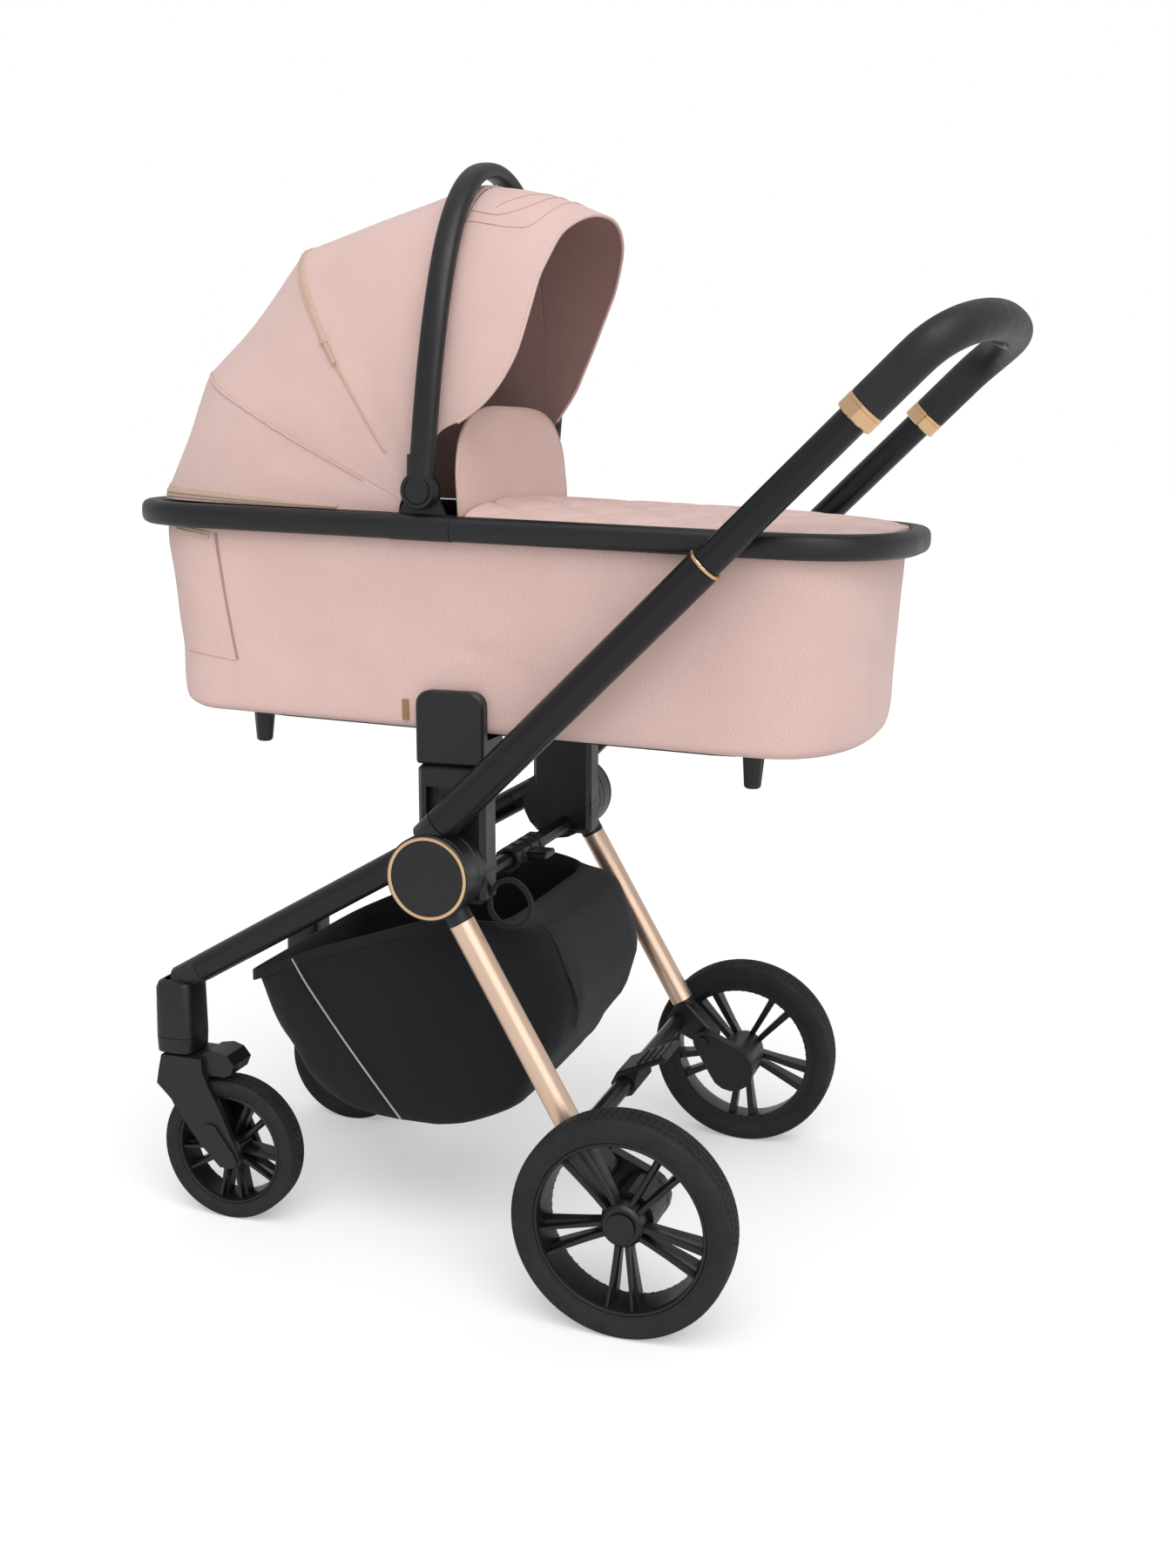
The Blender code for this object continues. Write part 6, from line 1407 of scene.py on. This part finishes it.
def visor_base(share):
    """How far from the fan's centre the brim ends, from the carry handle to its edge."""
    return VISOR_BASE[0] + (VISOR_BASE[1] - VISOR_BASE[0]) * share**2


# The brim's edge from its near foot over the top to its far foot: (turn along the rib, angle of the edge)
BRIM = (
    (0.16, 93.0), (0.22, 107.5), (0.29, 116.6), (0.38, 119.6), (0.51, 119.0), (0.64, 115.9), (0.82, 112.6),
    (1.10, 110.9), (1.51, 112.6), (2.00, 113.2), (2.30, 112.6), (2.60, 110.3), (2.80, 107.6), (2.92, 99.0),
    (2.99, 93.0),
)


def brim_angle(t):
    """The angle of the brim's edge at a place along its rib, read between the places of BRIM."""
    if t <= BRIM[0][0]:
        return BRIM[0][1]
    for (t0, a0), (t1, a1) in zip(BRIM, BRIM[1:]):
        if t <= t1:
            share = (t - t0) / (t1 - t0)
            return a0 + (a1 - a0) * share
    return BRIM[-1][1]


def brim_rib(share, lift):
    """A rib of the brim: share 0 at the carry handle and 1 at the edge, whose curve is smoothed."""
    row = []
    first = first_turn(VISOR_FROM + VISOR_REACH * share, visor_base(share), lift)
    for t in rib_turns(first, HOOD_COUNT):
        near = [brim_angle(t + shift) for shift in (-0.05, -0.025, 0.0, 0.025, 0.05)]
        row.append(hood_point(VISOR_FROM + (sum(near) / len(near) - VISOR_FROM) * share, t, lift))
    return row


# Sewn lines on the near half of the brim, up to its middle: (angle, turn along the rib)
BRIM_STITCHES = (
    ("low", ((96.6, 1.14), (100.0, 1.34), (102.0, math.pi / 2.0))),
    ("middle", ((91.8, 1.09), (98.3, 1.09), (102.7, 1.25), (104.0, math.pi / 2.0))),
    ("high", ((92.1, 1.01), (101.8, 1.02), (105.7, 1.12), (106.9, math.pi / 2.0))),
)


def brim_stitch(label, places, finish):
    """A raised sewn line on the brim, mirrored to the far side."""
    half = [Vector((t, degrees, 0.0)) for degrees, t in places]
    path = smooth_path(half + [Vector((math.pi - p.x, p.y, 0.0)) for p in half[-2::-1]], 10)
    line = sweep([hood_point(p.y, p.x, 0.0004) for p in path], ACROSS, 0.0017, 0.0012, 8)
    return piece("brim_stitch_" + label, line, finish["pink"], "carry_handle", (), COT)


def visor(finish):
    """The stiff brim in front of the carry handle, with its sewn lines and bound edge."""
    outer = [brim_rib(i / VISOR_STEPS, 0.0) for i in range(VISOR_STEPS + 1)]
    inner = [brim_rib(i / VISOR_STEPS, -VISOR_CLOTH) for i in range(VISOR_STEPS + 1)]
    made = piece("visor_cloth", shell(outer, inner), [finish["pink"], finish["inside"]], "carry_handle",
                 ["hood_visor"], COT)
    edge = [(a + b) / 2.0 for a, b in zip(outer[-1], inner[-1])]
    cord = sweep(edge, Vector((0.3, 0.0, 1.0)), 0.0040, 0.0040, 10)
    trims = [piece("visor_piping", cord, finish["pink"], "carry_handle", (), COT)]
    trims += [brim_stitch(label, places, finish) for label, places in BRIM_STITCHES]


# Basket


# The hem's line seen from the side: (x, z)
HEM = ((-0.330, 0.312), (-0.271, 0.339), (-0.191, 0.371), (-0.0705, 0.4050), (-0.012, 0.3960))


def hem_height(x):
    """Height of the basket's hem at a place along the pram."""
    for (x0, z0), (x1, z1) in zip(HEM, HEM[1:]):
        if x <= x1:
            return z0 + (z1 - z0) * (x - x0) / (x1 - x0)
    return HEM[-1][1]


# The basket's profile seen from the side, from the hem to the floor
BASKET_FRONT = (
    (-0.352, 0.300), (-0.343, 0.273), (-0.336, 0.252), (-0.324, 0.231), (-0.305, 0.211), (-0.284, 0.186),
    (-0.256, 0.163), (-0.221, 0.150), (-0.169, 0.147),
)
BASKET_REAR = (
    (-0.012, 0.396), (0.030, 0.385), (0.052, 0.343), (0.067, 0.306), (0.064, 0.286), (0.050, 0.246),
    (0.028, 0.216), (0.008, 0.183), (-0.019, 0.166), (-0.052, 0.153), (-0.084, 0.147),
)
BASKET_HALF = 0.159
BASKET_SQUARE = 0.25
CRINKLE = 0.0040
FINE_CRINKLE = 0.0018


def on_curve(curve, share):
    """The place at a share of a curve's length."""
    reach = lengths(curve)
    goal = share * reach[-1]
    for a, b, r0, r1 in zip(curve, curve[1:], reach, reach[1:]):
        if goal <= r1:
            return a.lerp(b, (goal - r0) / (r1 - r0))
    return curve[-1]


FRONT_CURVE = smooth_path([Vector((x, 0.0, z)) for x, z in BASKET_FRONT], 5)
REAR_CURVE = smooth_path([Vector((x, 0.0, z)) for x, z in BASKET_REAR], 5)


def basket_point(level, turn, shrink=0.0):
    """A place on the basket, level 0 at the hem and 1 at the floor."""
    front, rear = on_curve(FRONT_CURVE, level), on_curve(REAR_CURVE, level)
    share = 0.5 + 0.5 * signed_power(math.cos(turn), BASKET_SQUARE)
    half = BASKET_HALF - 0.009 * level**2 - shrink
    y = half * signed_power(math.sin(turn), BASKET_SQUARE)
    point = front.lerp(rear, share)
    straight = front.z + (rear.z - front.z) * share
    point.z += (hem_height(point.x) - straight) * max(0.0, 1.0 - 2.2 * level) ** 2
    middle = (front + rear) / 2.0
    crinkle = CRINKLE * noise.noise(Vector((point.x * 16.0, y * 16.0, point.z * 11.0 + 4.0)))
    crinkle += FINE_CRINKLE * noise.noise(Vector((point.x * 60.0, y * 60.0, point.z * 22.0)))
    away = Vector((point.x - middle.x, y, 0.0)).normalized()
    ease = math.sin(math.pi * min(1.0, level * 1.02 + 0.02))
    return Vector((point.x, y, point.z)) - away * (shrink + (0.002 + crinkle) * ease)


def crumpled(*made):
    """Gives each piece of the basket its own copy of its mesh."""
    for part in made:
        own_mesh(part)


def side_line(name, places, y, wide, finish):
    """A thin trim on the basket through (x, z) places."""
    path = smooth_path([Vector((x, y, z)) for x, z in places], 8)
    return piece(name, sweep(path, ACROSS, wide, wide * 0.6, 8), finish, "chassis")


PIPING_RUN = ((-0.2785, 0.334), (-0.2597, 0.304), (-0.2231, 0.2546), (-0.1843, 0.2054), (-0.1401, 0.152))
ZIP_RUN = ((-0.0140, 0.3930), (0.0300, 0.3870), (0.0530, 0.3430), (0.0670, 0.3060), (0.0640, 0.2760))
ZIP_Y = -0.120


def basket_trim(finish):
    """Grey piping on both sides, and the zip down the rear panel."""
    made = []
    for label, side in SIDES:
        y = side * (BASKET_HALF + 0.0008)
        made.append(side_line("basket_piping_" + label, PIPING_RUN, y, 0.0032, finish["reflective"]))
    made.append(side_line("basket_rear_zip", ZIP_RUN, ZIP_Y, 0.0060, finish["webbing"]))
    return made


BASKET_GRID = (144, 36)
BASKET_CLOTH = 0.0012


def basket(finish):
    """A sagging black bag with a hem, a grey piping on each side and a zip at the rear."""
    count, levels = BASKET_GRID
    turns = [2.0 * math.pi * (j + 0.5) / count for j in range(count)]
    outer = [[basket_point(k / levels, turn) for turn in turns] for k in range(levels + 1)]
    inner = [[basket_point(k / levels, turn, BASKET_CLOTH) for turn in turns] for k in range(levels + 1)]
    for rows, lift in ((outer, 0.0), (inner, BASKET_CLOTH)):
        last = rows[-1]
        middle = sum(last, Vector()) / count
        for share in (0.94, 0.7, 0.4, 0.04):
            rows.append([middle + (p - middle) * share + (lift - 0.001 * (1.0 - share)) * UP for p in last])
    made = piece("basket_bag", shell(outer, inner, True), [finish["basket"], finish["basket"]], "chassis",
                 ["basket"])
    binding = grid(hem_loops(outer[0]), across=True, along=True)
    hem = piece("basket_hem", binding, finish["webbing"], "chassis")
    trims = basket_trim(finish) + [hem]
    crumpled(made, *trims)


# The hem binding's section: (distance out of the cloth, height above its edge)
HEM_SECTION = (
    (0.0011, 0.0012), (0.0011, -0.0110), (0.0004, -0.0116), (-0.0024, -0.0110), (-0.0024, 0.0012),
)


def hem_loops(loop):
    """Loops round the hem's edge, a flat binding a little proud of the cloth."""
    middle = sum(loop, Vector()) / len(loop)
    rows = []
    for reach, drop in HEM_SECTION:
        row = []
        for p in loop:
            away = Vector((p.x - middle.x, p.y, 0.0)).normalized()
            row.append(p + reach * away + drop * UP)
        rows.append(row)
    return rows


# The pull loop, a flat ring of webbing that hangs beside the hub: (x, z)
LOOP_PLACES = (
    (-0.0168, 0.4387), (-0.0072, 0.4540), (0.0104, 0.4594), (0.0253, 0.4497), (0.0330, 0.4329),
    (0.0276, 0.4164), (0.0125, 0.4078), (-0.0040, 0.4100), (-0.0150, 0.4220),
)
LOOP_Y = -0.178


def pull_loop(finish):
    """The webbing ring, closed through its places."""
    ring = [Vector((x, LOOP_Y, z)) for x, z in LOOP_PLACES]
    path = smooth_path(ring + ring[:1], 8)
    band = grid(sweep_rows(path, ACROSS, 0.0096, 0.0056, 14, 2.6)[:-1], across=True, along=True)
    piece("pull_ring", band, finish["webbing"], "chassis", ["pull_loop"])


# Front forks


# Outlines of (x, z) places: an arm, the crown over the wheel and the cover on the axle's end
FORK_ARM = (
    (-0.4520, 0.1813), (-0.4545, 0.1664), (-0.4352, 0.1481), (-0.4310, 0.1403), (-0.3966, 0.0948),
    (-0.3705, 0.0693), (-0.3560, 0.0690), (-0.3460, 0.0740), (-0.3431, 0.0816), (-0.3525, 0.1052),
    (-0.3677, 0.1404), (-0.3823, 0.1675), (-0.3905, 0.1870), (-0.3917, 0.2036), (-0.4470, 0.2036),
)
FORK_CROWN = (
    (-0.4520, 0.1880), (-0.4470, 0.2039), (-0.3970, 0.2039), (-0.3905, 0.2100), (-0.3735, 0.2130),
    (-0.3600, 0.2090), (-0.3507, 0.1975), (-0.3560, 0.1850), (-0.3655, 0.1815), (-0.3900, 0.1815),
    (-0.4200, 0.1775), (-0.4400, 0.1700),
)
FORK_COVER = (
    (-0.3934, 0.1196), (-0.3850, 0.1240), (-0.3753, 0.1221), (-0.3510, 0.0902), (-0.3457, 0.0790),
    (-0.3490, 0.0725), (-0.3600, 0.0700), (-0.3700, 0.0725), (-0.3875, 0.0975),
)
FORK_IN, FORK_OUT = 0.0195, 0.0268
CROWN_HALF = 0.0200
AXLE_HALF = 0.0262
AXLE_RADIUS = 0.0044
COVER_OUT = 0.0296
STEM_RADIUS = 0.0065


def slab(outline, low, high):
    """A plate with an outline of (x, z) places, between two places along y."""
    return capped([[Vector((x, y, z)) for x, z in outline] for y in (low, high)])


def forks(finish):
    """Each front fork: two chamfered arms, a crown over the wheel, an axle, a stem and an end cover."""
    axle = Vector(FRONT["centre"])
    for label, side in SIDES:
        middle = side * CASTER_Y
        parts = [slab(FORK_ARM, middle + s * FORK_IN, middle + s * FORK_OUT) for s in (-1.0, 1.0)]
        parts.append(slab(FORK_CROWN, middle - CROWN_HALF, middle + CROWN_HALF))
        parts.append(slab(FORK_COVER, middle + side * AXLE_HALF, middle + side * COVER_OUT))
        parts.append(cross_rod(axle.x, axle.z, middle - AXLE_HALF, middle + AXLE_HALF, AXLE_RADIUS))
        stem = [Vector((CASTER_X, middle, z)) for z in (0.200, 0.268)]
        parts.append(rod(*stem, STEM_RADIUS))
        made = piece("fork_" + label, parts, finish["plastic"], "caster_" + label, ["front_fork_" + label])
        soft_edges(made, 0.0016)


# The swivel housing's outer shell: (height, half width), with a fine parting line
SHELL_SIDE = (
    (0.2052, 0.0235), (0.2062, 0.0250), (0.2240, 0.0258), (0.2246, 0.0250), (0.2252, 0.0258),
    (0.2860, 0.0250), (0.2925, 0.0225), (0.2950, 0.0180),
)
SHELL_STEPS = 48
SHELL_INSIDE = 0.90


def squared_loop(middle, half):
    """A loop between a circle and a square, round an upright axis."""
    turns = [2.0 * math.pi * j / SHELL_STEPS for j in range(SHELL_STEPS)]
    places = [(signed_power(math.cos(a), 0.5), signed_power(math.sin(a), 0.5)) for a in turns]
    return [middle + Vector((half * x, half * y, 0.0)) for x, y in places]


def swivel_shells(finish):
    """The squared shell over each swivel housing, with a parting line."""
    for label, side in SIDES:
        middles = [(Vector((CASTER_X, side * CASTER_Y, z)), half) for z, half in SHELL_SIDE]
        rows = [squared_loop(middle, half) for middle, half in middles]
        inner = [squared_loop(middle, SHELL_INSIDE * half) for middle, half in middles]
        made = grid(rows + inner[::-1], across=True, along=True)
        piece("swivel_shell_" + label, made, finish["plastic"], "chassis")


# The rest of the frame keeps its CAD solids, with better materials


MOULDED_EDGE = 0.0007


def cad_finishes(finish):
    """A node material on each CAD solid that stays, and softer edges on the moulded ones."""
    kinds = {"cross_tube": "tube", "cross_axle": "tube", "height_button": "key"}
    for name, node in frame["nodes"].items():
        if node.hide_render:
            continue
        kind = kinds.get(name, "plastic")
        node.data.materials.clear()
        node.data.materials.append(finish[kind])
        if kind == "plastic":
            soft_edges(node, MOULDED_EDGE)


def build():
    """Every piece of the pram, in its studio."""
    finish = finishes()
    studio()
    wheels(finish)
    hub_covers(finish)
    handle_arms(finish)
    bow_and_grip(finish)
    legs(finish)
    carrycot_rim(finish)
    carrycot_tub(finish)
    apron(finish)
    wind_flap(finish)
    mattress(finish)
    carry_arch(finish)
    for trim in TUB_TRIMS:
        tub_line(*trim, finish)
    canopy = hood_canopy(finish)
    over_the_fold(canopy)
    hood_trim(finish)
    visor(finish)
    basket(finish)
    pull_loop(finish)
    forks(finish)
    swivel_shells(finish)
    cad_finishes(finish)


build()
